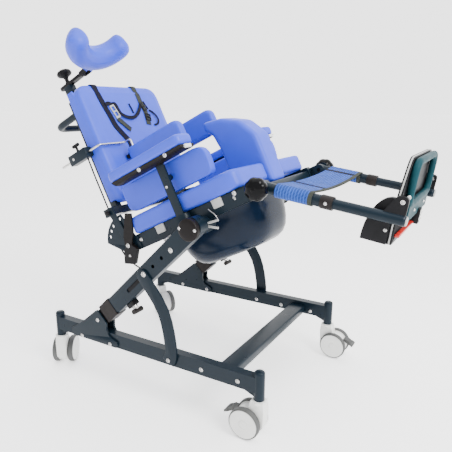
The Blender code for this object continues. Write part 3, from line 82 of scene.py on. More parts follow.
INNER_PLATE_BOLTS = ((-0.195, 0.165), (-0.325, 0.165))
POSTS = (0.3597, -0.4703)
POST_PROFILE = (
    (0.0, 0.1264),
    (0.0166, 0.1264),
    (0.0166, 0.2100),
    (0.0158, 0.2140),
    (0.0132, 0.2168),
    (0.0090, 0.2182),
    (0.0, 0.2188),
)
COLUMN_Y = 0.2975
COLUMN_FACE = 0.3179
COLUMN_LOW = -0.505
BUSH_LONG = 0.057
LOCK_LEVELS = (-0.0468, -0.0556)
TRAY_LEVEL = 0.2185
CLIP_PLACES = (-0.165, 0.073)
CLIP_Y, SPRING_Y, LINK_Y = 0.2425, 0.2475, 0.260
COVER_PROFILE = (
    (0.0, 0.0),
    (0.0345, 0.0),
    (0.0345, 0.0125),
    (0.0335, 0.0150),
    (0.0310, 0.0170),
    (0.0260, 0.0184),
    (0.0200, 0.0192),
    (0.0, 0.0196),
)
WHEEL_RADIUS = 0.050
WHEEL_WEB = 0.01815
WHEEL_WIDE = 0.020
PEDAL_HINGE = (-0.0403, 0.0, 0.0262)
PEDAL_SLOPE = math.radians(33.7)
BOLT_PROFILE = (
    (0.0, -0.15),
    (1.0, -0.15),
    (1.0, 0.08),
    (0.92, 0.15),
    (0.74, 0.17),
    (0.72, 0.42),
    (0.62, 0.56),
    (0.44, 0.64),
    (0.37, 0.62),
    (0.34, 0.38),
    (0.0, 0.34),
)
ROD_Y = 0.235
ELBOW_KNOB = (
    (0.0, -0.001),
    (0.0045, -0.001),
    (0.0045, 0.0030),
    (0.0080, 0.0042),
    (0.0094, 0.0075),
    (0.0085, 0.0110),
    (0.0050, 0.0130),
    (0.0, 0.0134),
)
GRIP_PROFILE = (
    (0.0, -0.0165),
    (0.0042, -0.0160),
    (0.0062, -0.0135),
    (0.0062, -0.0060),
    (0.0056, 0.0),
    (0.0062, 0.0060),
    (0.0062, 0.0135),
    (0.0042, 0.0160),
    (0.0, 0.0165),
)
STEM_PROFILE = ((0.0, 0.0), (0.0046, 0.0), (0.0046, 0.0200), (0.0070, 0.0210), (0.0, 0.0240))
SPINDLE_PROFILE = ((0.0, -0.019), (0.005, -0.019), (0.005, 0.019), (0.0, 0.019))
COLLAR_PROFILE = ((0.0, 0.1150), (0.0215, 0.1150), (0.0225, 0.1165), (0.0225, 0.1240), (0.0, 0.1250))
EYE_PROFILE = (
    (0.0, 0.2155),
    (0.0180, 0.2155),
    (0.0190, 0.2165),
    (0.0190, 0.2456),
    (0.0180, 0.2466),
    (0.0, 0.2466),
)
PLUG_PROFILE = ((0.0, 0.380), (0.0118, 0.380), (0.0118, 0.3925), (0.0100, 0.3940), (0.0, 0.3945))
LOWER_TUBE_PROFILE = ((0.0, 0.150), (0.01425, 0.150), (0.01425, 0.3850), (0.0125, 0.3908), (0.0, 0.3909))
KNOB_SPOT_PROFILE = ((0.0, 0.2982), (0.0060, 0.2982), (0.0060, 0.2998), (0.0045, 0.3008), (0.0, 0.3010))
LEG_Y = 0.230
LEG_OUTER = 0.0168
LEG_PROFILE = (
    (0.0148, 0.0435),
    (0.0, 0.0435),
    (0.0, 0.004),
    (0.0150, 0.004),
    (0.0168, 0.006),
    (0.0168, 0.1715),
    (0.0182, 0.1720),
    (0.0190, 0.1735),
    (0.0190, 0.2040),
    (0.0182, 0.2058),
    (0.0148, 0.2060),
    (0.0148, 0.0435),
)
KNOB_PROFILE = (
    (0.0, 0.2110),
    (0.006, 0.2110),
    (0.006, 0.2538),
    (0.0205, 0.2538),
    (0.0225, 0.2546),
    (0.0285, 0.2595),
    (0.0328, 0.2670),
    (0.0345, 0.2750),
    (0.0338, 0.2822),
    (0.0308, 0.2888),
    (0.0252, 0.2940),
    (0.0176, 0.2974),
    (0.0092, 0.2990),
    (0.0, 0.2994),
)
FOOT_U, FOOT_V = 0.3744, 0.0455
PLATE_U = 0.352
LOOP_HALF = 0.150
SLING_FROM, SLING_LONG, SLING_SAG = 0.042, 0.108, 0.013
SLING_HEM = 0.010
# Dark strips of painted shade along the calf sling, between its panels.
SLING_SHADE_STRIPS = ((-0.130, -0.104), (0.150, 0.176))
BACK_RISE = 0.010
HEAD_MIDDLE = (0.0650, 0.0320)
HEAD_END = 0.098


def number(name, description, value, **kind):
    """A float property."""
    return bpy.props.FloatProperty(name=name, description=description, default=value, **kind)


def length(name, description, value):
    return number(name, description, value, unit="LENGTH")


class CommodeSizes(bpy.types.PropertyGroup):
    """Sizes of the fittings that the frame leaves to the visible pieces."""

    foam_voxel: length("Foam Voxel", "Mesh size of the moulded foam pads", 0.0030)
    foam_rounds: bpy.props.IntProperty(
        name="Foam Rounds", description="Smoothing passes that round the foam edges", default=2, min=0
    )
    rail_round: length("Rail Rounding", "Edge radius of the square tubes", 0.0055)
    strap_width: length("Strap Width", "Width of the shoulder straps", 0.025)
    strap_thick: length("Strap Thickness", "Thickness of the webbing", 0.0018)
    bolt_radius: length("Bolt Radius", "Head radius of the frame bolts", 0.0072)
    screw_radius: length("Screw Radius", "Head radius of the small screws", 0.0048)
    tyre_depth: length("Tyre Depth", "Depth of the castor tyre ring", 0.0048)
    mesh_cell: length("Sling Cell", "Spacing of the sling's honeycomb", 0.0068)
    cable_radius: length("Cable Radius", "Outer radius of the control cables", 0.0028)


def colour(name, description, value):
    """A colour property with its default in linear light."""
    return bpy.props.FloatVectorProperty(
        name=name, description=description, subtype="COLOR", size=3, min=0.0, max=1.0, default=value
    )


class CommodeColours(bpy.types.PropertyGroup):
    """Colours of the finishes, in linear light."""

    foam: colour("Foam", "Blue integral-skin foam", (0.028, 0.060, 0.540))
    paint: colour("Frame Paint", "Petrol powder coat of the frame", (0.0038, 0.0094, 0.0155))
    teal: colour("Foot Paint", "Teal powder coat of the foot loop", (0.0045, 0.0330, 0.0420))
    pan: colour("Pan", "Navy plastic of the commode pan", (0.0030, 0.0078, 0.0185))
    nylon: colour("Castor Nylon", "Light nylon of the castors", (0.700, 0.700, 0.680))
    rubber: colour("Tyre", "Grey rubber of the tyres and pedals", (0.060, 0.061, 0.060))
    black: colour("Black Plastic", "Moulded black plastic", (0.0055, 0.0055, 0.0065))
    bush: colour("Bush", "Brown grey plastic of bushes and collars", (0.0120, 0.0100, 0.0098))
    umber: colour("Cover", "Dark brown plastic of the pivot and hinge covers", (0.0058, 0.0046, 0.0046))
    steel: colour("Steel", "Bright steel of rods and bolts", (0.560, 0.550, 0.540))
    # The webbing finish also paints the shade strips along the calf sling.
    webbing: colour("Webbing", "Dark woven strap", (0.0055, 0.0055, 0.0125))
    olive: colour("Olive Webbing", "Olive grey strap ends and hems", (0.026, 0.029, 0.024))
    sling: colour("Sling", "Blue spacer mesh of the calf sling", (0.034, 0.098, 0.450))
    red: colour("Red", "Red bar under the footplate", (0.420, 0.016, 0.012))
    # The plug colour also paints the highlight band on the footplate's edge.
    cap: colour("Plug", "Pale tube plugs and clips", (0.380, 0.380, 0.370))


class CommodeStage(bpy.types.PropertyGroup):
    """Camera, floor and lights."""

    eye: bpy.props.FloatVectorProperty(
        name="Eye",
        description="Place of the camera",
        subtype="TRANSLATION",
        default=(0.91804, -1.45557, 0.96695),
    )
    yaw: number("Yaw", "Turn of the camera to the left", math.radians(30.31), subtype="ANGLE")
    pitch: number("Pitch", "Downward tilt of the camera", math.radians(13.91), subtype="ANGLE")
    roll: number("Roll", "Roll of the camera", math.radians(0.28), subtype="ANGLE")
    lens: number("Lens", "Focal length in millimetres", 39.03)
    floor: colour("Floor", "Pale floor", (0.960, 0.960, 0.960))
    sky: number("Sky", "Strength of the white surround", 3.0)
    room: number("Room", "Share of the surround on the near side", 0.45)
    glow: number("Glow", "Lift of the floor towards white", 0.95)
    key: number("Key", "Power of the light ahead", 130.0, unit="POWER")
    fill: number("Fill", "Power of the light above", 30.0, unit="POWER")


def sizes():
    return bpy.context.scene.commode_sizes


def colours():
    return bpy.context.scene.commode_colours


def joint_place(joint, turn):
    """The frame at a joint, turned about the cross axis so that X lies along the piece."""
    return Matrix.Translation(JOINTS[joint]["pos_m"]) @ Matrix.Rotation(turn, 4, "Y")


SEAT = joint_place("seat_tilt", -SEAT_LEAN)
COLUMN = joint_place("seat_tilt", -COLUMN_LEAN)
LEG = joint_place("knee", LEG_DROP)


def castor_place(spot):
    """The frame at a castor's axle, with X towards its swivel and Y along the axle."""
    axle = Vector(JOINTS[f"roll_{spot}"]["pos_m"])
    swivel = Vector(JOINTS[f"swivel_{spot}"]["pos_m"])
    heading = math.atan2(swivel.y - axle.y, swivel.x - axle.x)
    return Matrix.Translation(axle) @ Matrix.Rotation(heading, 4, "Z")


def across(sign):
    """Turns a shape made along Z so that it points sideways, outward for that side."""
    return Matrix.Rotation(-sign * math.pi / 2, 4, "X")


def smooth_line(points, steps):
    """Points on a smooth curve through the given points."""
    points = [Vector(point) for point in points]
    ends = [points[0] * 2 - points[1], *points, points[-1] * 2 - points[-2]]
    line = []
    for i in range(1, len(ends) - 2):
        a, b, c, d = ends[i - 1 : i + 3]
        for k in range(steps):
            t = k / steps
            low = b * 2 + (c - a) * t
            high = (a * 2 - b * 5 + c * 4 - d) * t * t + (b * 3 - a - c * 3 + d) * t**3
            line.append((low + high) / 2)
    line.append(points[-1])
    return line


def stations_along(line, faces=None):
    """A frame at each point: Z along the line, and Y towards the point's face direction if it has one."""
    stations = []
    side = None
    for i, point in enumerate(line):
        ahead = (line[min(i + 1, len(line) - 1)] - line[max(i - 1, 0)]).normalized()
        if faces is not None:
            side = faces[i].cross(ahead).normalized()
        elif side is None:
            side = ahead.orthogonal().normalized()
        else:
            side = (side - ahead * side.dot(ahead)).normalized()
        turn = Matrix((side, ahead.cross(side), ahead)).transposed().to_4x4()
        stations.append(Matrix.Translation(point) @ turn)
    return stations


def ring_edges(verts):
    """The edges between the given points, in a fixed order."""
    chosen = set(verts)
    edges = dict.fromkeys(edge for vert in verts for edge in vert.link_edges)
    return [edge for edge in edges if edge.verts[0] in chosen and edge.verts[1] in chosen]


def close_ends(bm):
    edges = [edge for edge in bm.edges if edge.is_boundary]
    bmesh.ops.holes_fill(bm, edges=edges, sides=0)


def merged(bm):
    bmesh.ops.remove_doubles(bm, verts=bm.verts, dist=0.00001)
    bmesh.ops.recalc_face_normals(bm, faces=bm.faces)
    return bm


def swept(stations, section, closed=False):
    """Carry a ring along the stations, one extrusion each. section is (half width, half height, count)."""
    half, thick, count = section
    bm = bmesh.new()
    ring = bmesh.ops.create_circle(bm, segments=count, radius=1.0)["verts"]
    if count == 4:
        corner = math.sqrt(2.0)
        bmesh.ops.rotate(bm, verts=ring, matrix=Matrix.Rotation(math.pi / 4, 3, "Z"))
        bmesh.ops.scale(bm, verts=ring, vec=(half * corner, thick * corner, 1.0))
    else:
        bmesh.ops.scale(bm, verts=ring, vec=(half, thick, 1.0))
    bmesh.ops.transform(bm, matrix=stations[0], verts=ring)
    edges = ring_edges(ring)
    stops = stations + stations[:1] if closed else stations
    for before, after in zip(stops, stops[1:]):
        grown = bmesh.ops.extrude_edge_only(bm, edges=edges)["geom"]
        verts = [item for item in grown if isinstance(item, bmesh.types.BMVert)]
        edges = ring_edges(verts)
        bmesh.ops.transform(bm, matrix=after @ before.inverted(), verts=verts)
    if not closed:
        close_ends(bm)
    return merged(bm)


def tube(points, radius, steps=6, count=20, closed=False):
    line = smooth_line(points, steps) if steps else [Vector(point) for point in points]
    return swept(stations_along(line), (radius, radius, count), closed)


def rounded_corners(points, radius, steps=5):
    """A line through the points whose corners are rounded with short chords."""
    points = [Vector(point) for point in points]
    line = [points[0]]
    for before, here, after in zip(points, points[1:], points[2:]):
        start = here + (before - here).normalized() * radius
        stop = here + (after - here).normalized() * radius
        for k in range(steps + 1):
            t = k / steps
            line.append(start * (1 - t) ** 2 + here * 2 * t * (1 - t) + stop * t * t)
    line.append(points[-1])
    return line


def lathed(profile, count=32):
    """Spin a profile of (radius, height) points about Z."""
    bm = bmesh.new()
    verts = [bm.verts.new((radius, 0.0, height)) for radius, height in profile]
    edges = [bm.edges.new(pair) for pair in zip(verts, verts[1:])]
    bmesh.ops.spin(
        bm,
        geom=verts + edges,
        axis=(0, 0, 1),
        cent=(0, 0, 0),
        angle=2 * math.pi,
        steps=count,
        use_merge=True,
    )
    return merged(bm)


def rounding(bm, edges, width, segments=2):
    bmesh.ops.bevel(
        bm,
        geom=edges,
        offset=width,
        offset_type="OFFSET",
        segments=segments,
        profile=0.5,
        affect="EDGES",
        clamp_overlap=False,
        material=-1,
    )


def brick(size, place, bevel=0.001, segments=2):
    """A block with rounded edges."""
    bm = bmesh.new()
    bmesh.ops.create_cube(bm, size=1.0)
    bmesh.ops.scale(bm, verts=bm.verts, vec=size)
    if bevel:
        rounding(bm, bm.edges[:], bevel, segments)
    bm.transform(place)
    return bm


def added(bm, other):
    """Put another shape into this one."""
    mesh = bpy.data.meshes.new("part")
    other.to_mesh(mesh)
    other.free()
    bm.from_mesh(mesh)
    bpy.data.meshes.remove(mesh)
    return bm


def node_copy(node):
    """A merged copy of a frame node, with its flat faces joined up."""
    bm = bmesh.new()
    bm.from_mesh(NODES[node].data)
    bmesh.ops.remove_doubles(bm, verts=bm.verts, dist=0.00002)
    bmesh.ops.dissolve_limit(
        bm, angle_limit=math.radians(1.0), verts=bm.verts, edges=bm.edges, use_dissolve_boundaries=False
    )
    return bm


def tagged(bm, look):
    """Give every face of a shape one material number."""
    for face in bm.faces:
        face.material_index = look
    return bm


def turned(profile, count, place, look=0):
    """A lathed shape set in its place, with one material number."""
    bm = lathed(profile, count)
    bm.transform(place)
    return tagged(bm, look)


def gathered(shapes):
    """One shape from several."""
    bm = bmesh.new()
    for shape in shapes:
        added(bm, shape)
    return bm


def surface_of(node):
    """A search tree over a frame node, built once."""
    if node not in SURFACES:
        bm = bmesh.new()
        bm.from_mesh(NODES[node].data)
        SURFACES[node] = BVHTree.FromBMesh(bm)
        bm.free()
    return SURFACES[node]


def seated(nodes, spot, outward):
    """The outermost point of the named nodes on the line through a spot."""
    spot, outward = Vector(spot), Vector(outward).normalized()
    best = None
    for node in nodes:
        hit = surface_of(node).ray_cast(spot + outward * 0.06, -outward, 0.14)[0]
        if hit is not None and (best is None or (hit - best).dot(outward) > 0):
            best = hit
    if best is None:
        raise ValueError(f"nothing of {nodes} lies under {tuple(spot)}")
    return best


def standing(point, outward):
    """A frame at a point whose Z looks outward."""
    turn = Vector(outward).to_track_quat("Z", "Y").to_matrix().to_4x4()
    return Matrix.Translation(point) @ turn


def scaled(profile, size):
    return [(radius * size, height * size) for radius, height in profile]


def bolt(point, outward, radius, look):
    """A domed bolt head with a socket, on a washer that sinks a little into its seat."""
    return turned(scaled(BOLT_PROFILE, radius), 18, standing(point, outward), look)


def bolts(nodes, spots, outward, radius, look):
    """Bolt heads seated on the nodes, as one shape."""
    return gathered([bolt(seated(nodes, spot, outward), outward, radius, look) for spot in spots])


def beside(places, y):
    """Spots from (x, z) places at one distance from the middle plane."""
    return [(x, y, z) for x, z in places]


def coil(start, stop, radius, wire, turns, look):
    """A tension spring with straight hook ends."""
    start, stop = Vector(start), Vector(stop)
    place = standing(start, stop - start)
    length = (stop - start).length
    line = [place @ Vector((0.0, 0.0, 0.0))]
    count = turns * 12
    for k in range(count + 1):
        turn = 2 * math.pi * turns * k / count
        along = length * (0.12 + 0.76 * k / count)
        line.append(place @ Vector((radius * math.cos(turn), radius * math.sin(turn), along)))
    line.append(place @ Vector((0.0, 0.0, length)))
    return tagged(swept(stations_along(line), (wire, wire, 6)), look)


def made(name, bm, looks, node, sharp=38.0):
    """Turn a finished shape into a piece that stands in for a node and rides on its body."""
    mesh = bpy.data.meshes.new(name)
    bm.to_mesh(mesh)
    bm.free()
    for look in looks:
        mesh.materials.append(LOOKS[look])
    mesh.shade_smooth()
    mesh.set_sharp_from_angle(angle=math.radians(sharp))
    piece = bpy.data.objects.new(name, mesh)
    bpy.context.scene.collection.objects.link(piece)
    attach(piece, BODY_OF[node])
    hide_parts(node)
    return piece


def cleaned(node, bevel=None, zone=None):
    """A copy of a frame node, its materials zoned and its edges over the bevel's (length, width) rounded."""
    bm = node_copy(node)
    if bevel is not None:
        least, width = bevel
        edges = [
            edge
            for edge in bm.edges
            if edge.calc_length() > least and edge.calc_face_angle(0.0) > math.radians(40)
        ]
        rounding(bm, edges, width, 3)
    if zone is not None:
        for face in bm.faces:
            face.material_index = zone(face.calc_center_median(), face.normal)
    return bm


def dressed(node, looks, bevel=None, zone=None, sharp=38.0, extras=()):
    """Stand a cleaned copy, with its fittings, in for a frame node."""
    bm = cleaned(node, bevel, zone)
    for extra in extras:
        added(bm, extra)
    made(f"{node}_shell", bm, looks, node, sharp)


def softened(node, swell=0.0003, more=(), shape=None, zone=None, again=1):
    """A moulded foam pad: the node's solid remeshed evenly, its edges relaxed and its skin grown back."""
    voxel, rounds = sizes().foam_voxel, sizes().foam_rounds
    source = node_copy(node)
    for extra in more:
        added(source, extra)
    if shape is not None:
        for vert in source.verts:
            vert.co = shape(vert.co)
    bmesh.ops.triangulate(source, faces=source.faces)
    mesh = bpy.data.meshes.new(f"{node}_raw")
    source.to_mesh(mesh)
    source.free()
    rough = bpy.data.objects.new(f"{node}_raw", mesh)
    bpy.context.scene.collection.objects.link(rough)
    remesh = rough.modifiers.new("Remesh", "REMESH")
    remesh.mode = "VOXEL"
    remesh.voxel_size = voxel
    graph = bpy.context.evaluated_depsgraph_get()
    bm = bmesh.new()
    bm.from_object(rough, graph)
    bpy.data.objects.remove(rough, do_unlink=True)
    bpy.data.meshes.remove(mesh)
    for _ in range(rounds * again):
        bmesh.ops.smooth_vert(
            bm, verts=bm.verts, factor=0.5, use_axis_x=True, use_axis_y=True, use_axis_z=True
        )
    bm.normal_update()
    for vert in bm.verts:
        vert.co += vert.normal * swell
    for face in bm.faces:
        face.material_index = zone(face.calc_center_median(), face.normal) if zone else 0
    piece = made(f"{node}_foam", bm, ("foam", "black"), node, 180.0)


def cord_route(place, points, radius, node):
    """A cable along a smooth route."""
    line = [place @ point for point in smooth_line(points, 6)]
    bm = swept(stations_along(line), (radius, radius, 14))
    piece = made(f"{node}_sheath", bm, ("black",), node, 60.0)
    tuple(line[0])
    sum((b - a).length for a, b in zip(line, line[1:]))
    [tuple(point) for point in line]


def set_inputs(node, values):
    """Set a shader node's inputs by name, with underscores for spaces."""
    for key, value in values.items():
        node.inputs[key.replace("_", " ")].default_value = value


def new_node(tree, kind, at, **values):
    """Add a shader node and set its inputs."""
    node = tree.nodes.new(kind)
    node.location = at
    set_inputs(node, values)
    return node


def placed(tree, group, at, **values):
    """A shared node group, placed in a material with its own values."""
    node = tree.nodes.new("ShaderNodeGroup")
    node.node_tree = bpy.data.node_groups[group]
    node.location = at
    set_inputs(node, values)
    return node


def joined(tree, *links):
    """Link sockets given as (node, output, node, input)."""
    for source, output, target, entry in links:
        tree.links.new(source.outputs[output], target.inputs[entry])


def math_node(tree, operation, at, first, second=None):
    """A math node fed by numbers or sockets; gives its output socket."""
    node = new_node(tree, "ShaderNodeMath", at)
    node.operation = operation
    for socket, value in zip(node.inputs, (first, second)):
        if isinstance(value, (int, float)):
            socket.default_value = value
        elif value is not None:
            tree.links.new(value, socket)
    return node.outputs["Value"]


def new_group(name, inputs, outputs):
    """A shader node group with named sockets, its two end nodes and a coordinate node."""
    tree = bpy.data.node_groups.new(name, "ShaderNodeTree")
    for label, kind, value in inputs:
        socket = tree.interface.new_socket(name=label, in_out="INPUT", socket_type=kind)
        socket.default_value = value
    for label, kind in outputs:
        tree.interface.new_socket(name=label, in_out="OUTPUT", socket_type=kind)
    start = new_node(tree, "NodeGroupInput", (-900, 0))
    stop = new_node(tree, "NodeGroupOutput", (700, 0))
    spot = new_node(tree, "ShaderNodeTexCoord", (-900, -260))
    return tree, start, stop, spot


def mix_colours(tree, at):
    mixer = new_node(tree, "ShaderNodeMix", at)
    mixer.data_type = "RGBA"
    return mixer


def mottle_group():
    """Slow variation between two shades, as moulded and coated surfaces show."""
    tree, start, stop, spot = new_group(
        "Mottle",
        (
            ("Base", "NodeSocketColor", (0.5, 0.5, 0.5, 1.0)),
            ("Tint", "NodeSocketColor", (0.6, 0.6, 0.6, 1.0)),
            ("Scale", "NodeSocketFloat", 14.0),
        ),
        (("Color", "NodeSocketColor"), ("Mask", "NodeSocketFloat")),
    )
    noise = new_node(tree, "ShaderNodeTexNoise", (-640, -160), Detail=5.0, Roughness=0.6)
    ramp = new_node(tree, "ShaderNodeMapRange", (-400, -160), From_Min=0.35, From_Max=0.68)
    mixer = mix_colours(tree, (-140, 60))
    joined(
        tree,
        (spot, "Object", noise, "Vector"),
        (start, "Scale", noise, "Scale"),
        (noise, "Fac", ramp, "Value"),
        (ramp, "Result", mixer, "Factor"),
        (start, "Base", mixer, "A"),
        (start, "Tint", mixer, "B"),
        (mixer, "Result", stop, "Color"),
        (ramp, "Result", stop, "Mask"),
    )


def grain_group():
    """Fine surface grain: a height for bump and a roughness that follows it."""
    tree, start, stop, spot = new_group(
        "Grain",
        (
            ("Scale", "NodeSocketFloat", 600.0),
            ("Low Roughness", "NodeSocketFloat", 0.35),
            ("High Roughness", "NodeSocketFloat", 0.50),
        ),
        (("Height", "NodeSocketFloat"), ("Roughness", "NodeSocketFloat")),
    )
    fine = new_node(tree, "ShaderNodeTexNoise", (-640, 120), Detail=3.0, Roughness=0.55)
    slow = new_node(tree, "ShaderNodeTexNoise", (-640, -220), Scale=22.0, Detail=6.0, Roughness=0.65)
    rough = new_node(tree, "ShaderNodeMapRange", (-300, -200), From_Min=0.3, From_Max=0.7)
    joined(
        tree,
        (spot, "Object", fine, "Vector"),
        (spot, "Object", slow, "Vector"),
        (start, "Scale", fine, "Scale"),
        (slow, "Fac", rough, "Value"),
        (start, "Low Roughness", rough, "To Min"),
        (start, "High Roughness", rough, "To Max"),
        (fine, "Fac", stop, "Height"),
        (rough, "Result", stop, "Roughness"),
    )


def scuff_group():
    """Sparse thin scratches and rubbed spots as a mask."""
    tree, start, stop, spot = new_group(
        "Scuffs",
        (("Scale", "NodeSocketFloat", 30.0), ("Amount", "NodeSocketFloat", 0.35)),
        (("Mask", "NodeSocketFloat"),),
    )
    ways = {"Scale": (1.0, 1.0, 6.0), "Rotation": (0.4, 0.7, 0.2)}
    stretch = new_node(tree, "ShaderNodeMapping", (-700, -200), **ways)
    noise = new_node(tree, "ShaderNodeTexNoise", (-480, -100), Detail=8.0, Roughness=0.7)
    ramp = new_node(tree, "ShaderNodeMapRange", (-240, -100), From_Min=0.64, From_Max=0.74)
    joined(
        tree,
        (spot, "Object", stretch, "Vector"),
        (stretch, "Vector", noise, "Vector"),
        (start, "Scale", noise, "Scale"),
        (noise, "Fac", ramp, "Value"),
    )
    share = math_node(tree, "MULTIPLY", (40, -60), ramp.outputs["Result"], start.outputs["Amount"])
    tree.links.new(share, stop.inputs["Mask"])


def weave_group():
    """Over and under ribs of woven webbing."""
    tree, start, stop, spot = new_group(
        "Weave",
        (("Pitch", "NodeSocketFloat", 900.0),),
        (("Height", "NodeSocketFloat"), ("Mask", "NodeSocketFloat")),
    )
    heights = []
    for row, turn in ((0, 0.62), (1, -0.62)):
        lean = new_node(tree, "ShaderNodeMapping", (-700, -260 * row), Rotation=(turn, SEAT_LEAN, 0.0))
        wave = new_node(tree, "ShaderNodeTexWave", (-480, -260 * row), Distortion=0.3, Detail=1.0)
        wave.bands_direction = "Z"
        joined(
            tree,
            (spot, "Object", lean, "Vector"),
            (lean, "Vector", wave, "Vector"),
            (start, "Pitch", wave, "Scale"),
        )
        heights.append(wave.outputs["Fac"])
    total = math_node(tree, "MULTIPLY", (-200, 0), *heights)
    for label in ("Height", "Mask"):
        tree.links.new(total, stop.inputs[label])


def cells_group():
    """Round holes on a staggered lattice over the piece's own UV map, which is in cells."""
    outputs = (("Mask", "NodeSocketFloat"), ("Height", "NodeSocketFloat"))
    tree, _, stop, spot = new_group("Cells", (), outputs)
    split = new_node(tree, "ShaderNodeSeparateXYZ", (-900, 0))
    joined(tree, (spot, "UV", split, "Vector"))
    near = []
    for row, shift in ((0, 0.0), (1, 0.5)):
        gaps = []
        for axis, stretch in (("X", 1.0), ("Y", 1.7321)):
            moved = math_node(tree, "ADD", (-700, -300 * row), split.outputs[axis], shift * stretch)
            inside = math_node(tree, "WRAP", (-520, -300 * row), moved, stretch)
            centred = math_node(tree, "SUBTRACT", (-340, -300 * row), inside, stretch / 2)
            gaps.append(math_node(tree, "POWER", (-160, -300 * row), centred, 2.0))
        near.append(math_node(tree, "ADD", (0, -300 * row), *gaps))
    least = math_node(tree, "MINIMUM", (180, 0), *near)
    reach = math_node(tree, "SQRT", (320, 0), least)
    hole = new_node(tree, "ShaderNodeMapRange", (460, 0), From_Min=0.26, From_Max=0.40)
    tree.links.new(reach, hole.inputs["Value"])
    joined(tree, (hole, "Result", stop, "Mask"), (hole, "Result", stop, "Height"))


def shade(base, factor):
    return tuple(min(1.0, channel * factor) for channel in base)


def finish(name, base, tint, scale, grain, rough, bump, **plain):
    """A material with mottled colour, fine grain bump and varied roughness."""
    look = bpy.data.materials.new(name)
    look.use_nodes = True
    tree = look.node_tree
    shader = tree.nodes["Principled BSDF"]
    set_inputs(shader, plain)
    shades = {"Base": (*base, 1.0), "Tint": (*shade(base, tint), 1.0)}
    mottle = placed(tree, "Mottle", (-700, 200), Scale=scale, **shades)
    fine = placed(tree, "Grain", (-700, -160), Scale=grain, Low_Roughness=rough[0], High_Roughness=rough[1])
    relief = new_node(tree, "ShaderNodeBump", (-320, -320), Strength=bump[0], Distance=bump[1])
    joined(
        tree,
        (mottle, "Color", shader, "Base Color"),
        (fine, "Roughness", shader, "Roughness"),
        (fine, "Height", relief, "Height"),
        (relief, "Normal", shader, "Normal"),
    )
    LOOKS[name] = look


def layered(name, group, tone, entry="B", relief=None, **values):
    """Mix a tone into a finish where a group's mask says, and take the group's relief if it has one."""
    tree = LOOKS[name].node_tree
    shader = tree.nodes["Principled BSDF"]
    below = shader.inputs["Base Color"].links[0].from_socket
    layer = placed(tree, group, (-700, 480), **values)
    mixer = mix_colours(tree, (-320, 300))
    mixer.inputs[entry].default_value = (*tone, 1.0)
    tree.links.new(below, mixer.inputs["A" if entry == "B" else "B"])
    joined(tree, (layer, "Mask", mixer, "Factor"), (mixer, "Result", shader, "Base Color"))
    if relief is not None:
        bump = new_node(tree, "ShaderNodeBump", (-320, -120), Strength=relief[0], Distance=relief[1])
        joined(tree, (layer, "Height", bump, "Height"), (bump, "Normal", shader, "Normal"))


def scuffed(name, tone, scale, amount):
    """Lay rubbed marks of a given tone over a finish."""
    layered(name, "Scuffs", tone, Scale=scale, Amount=amount)


def woven(name, base, pitch):
    """A ribbed webbing finish."""
    finish(name, base, 1.4, 60.0, 900.0, (0.70, 0.85), (0.2, 0.0004), Specular_IOR_Level=0.1)
    layered(name, "Weave", shade(base, 1.9), relief=(0.7, 0.0006), Pitch=pitch)


def meshed(name, base):
    """A spacer mesh finish with dark cells between raised walls."""
    finish(name, base, 1.25, 40.0, 900.0, (0.55, 0.70), (0.2, 0.0004), Specular_IOR_Level=0.1)
    layered(name, "Cells", shade(base, 0.22), "A", (0.8, 0.0015))


def make_looks():
    """Build the shared node groups and every finish."""
    for build in (mottle_group, grain_group, scuff_group, weave_group, cells_group):
        build()
    tone = {key: tuple(getattr(colours(), key)) for key in CommodeColours.__annotations__}
    tone["gloss"] = shade(tone["black"], 0.45)
    rub_tones = {"nylon": (0.42, 0.41, 0.38), "black": (0.035, 0.035, 0.038)}
    for name, tint, scale, grain, rough, bump, gleam, rub in (
        ("foam", 1.10, 9.0, 260.0, (0.40, 0.52), (0.05, 0.0004), 0.30, (0.82, 18.0, 0.16)),
        ("paint", 1.15, 12.0, 420.0, (0.26, 0.36), (0.02, 0.0004), 0.14, (2.2, 26.0, 0.05)),
        ("teal", 1.15, 12.0, 420.0, (0.44, 0.56), (0.02, 0.0004), 0.07, (1.7, 26.0, 0.05)),
        ("pan", 1.25, 12.0, 260.0, (0.16, 0.24), (0.03, 0.0004), 0.12, (2.6, 26.0, 0.12)),
        ("nylon", 0.95, 30.0, 500.0, (0.34, 0.46), (0.08, 0.0004), 0.50, (1.0, 40.0, 0.16)),
        ("rubber", 1.15, 40.0, 700.0, (0.60, 0.75), (0.18, 0.0005), 0.50, (1.6, 60.0, 0.25)),
        ("black", 1.6, 26.0, 800.0, (0.36, 0.48), (0.14, 0.0004), 0.10, (1.0, 46.0, 0.18)),
        ("gloss", 1.4, 26.0, 300.0, (0.07, 0.11), (0.005, 0.0002), 0.08, (2.0, 30.0, 0.05)),
        ("bush", 1.25, 26.0, 700.0, (0.38, 0.50), (0.12, 0.0004), 0.10, (2.0, 46.0, 0.15)),
        ("umber", 1.25, 26.0, 700.0, (0.38, 0.50), (0.12, 0.0004), 0.10, (2.0, 46.0, 0.15)),
        ("red", 1.2, 30.0, 500.0, (0.24, 0.34), (0.08, 0.0004), 0.50, (0.6, 40.0, 0.15)),
        ("cap", 0.85, 40.0, 600.0, (0.38, 0.50), (0.10, 0.0004), 0.50, (0.6, 50.0, 0.15)),
    ):
        finish(name, tone[name], tint, scale, grain, rough, bump, Specular_IOR_Level=gleam)
        scuffed(name, rub_tones.get(name, shade(tone[name], rub[0])), rub[1], rub[2])
    finish("steel", tone["steel"], 0.8, 60.0, 900.0, (0.20, 0.32), (0.10, 0.0003), Metallic=1.0)
    for name in ("webbing", "olive"):
        woven(name, tone[name], 420.0)
    meshed("sling", tone["sling"])


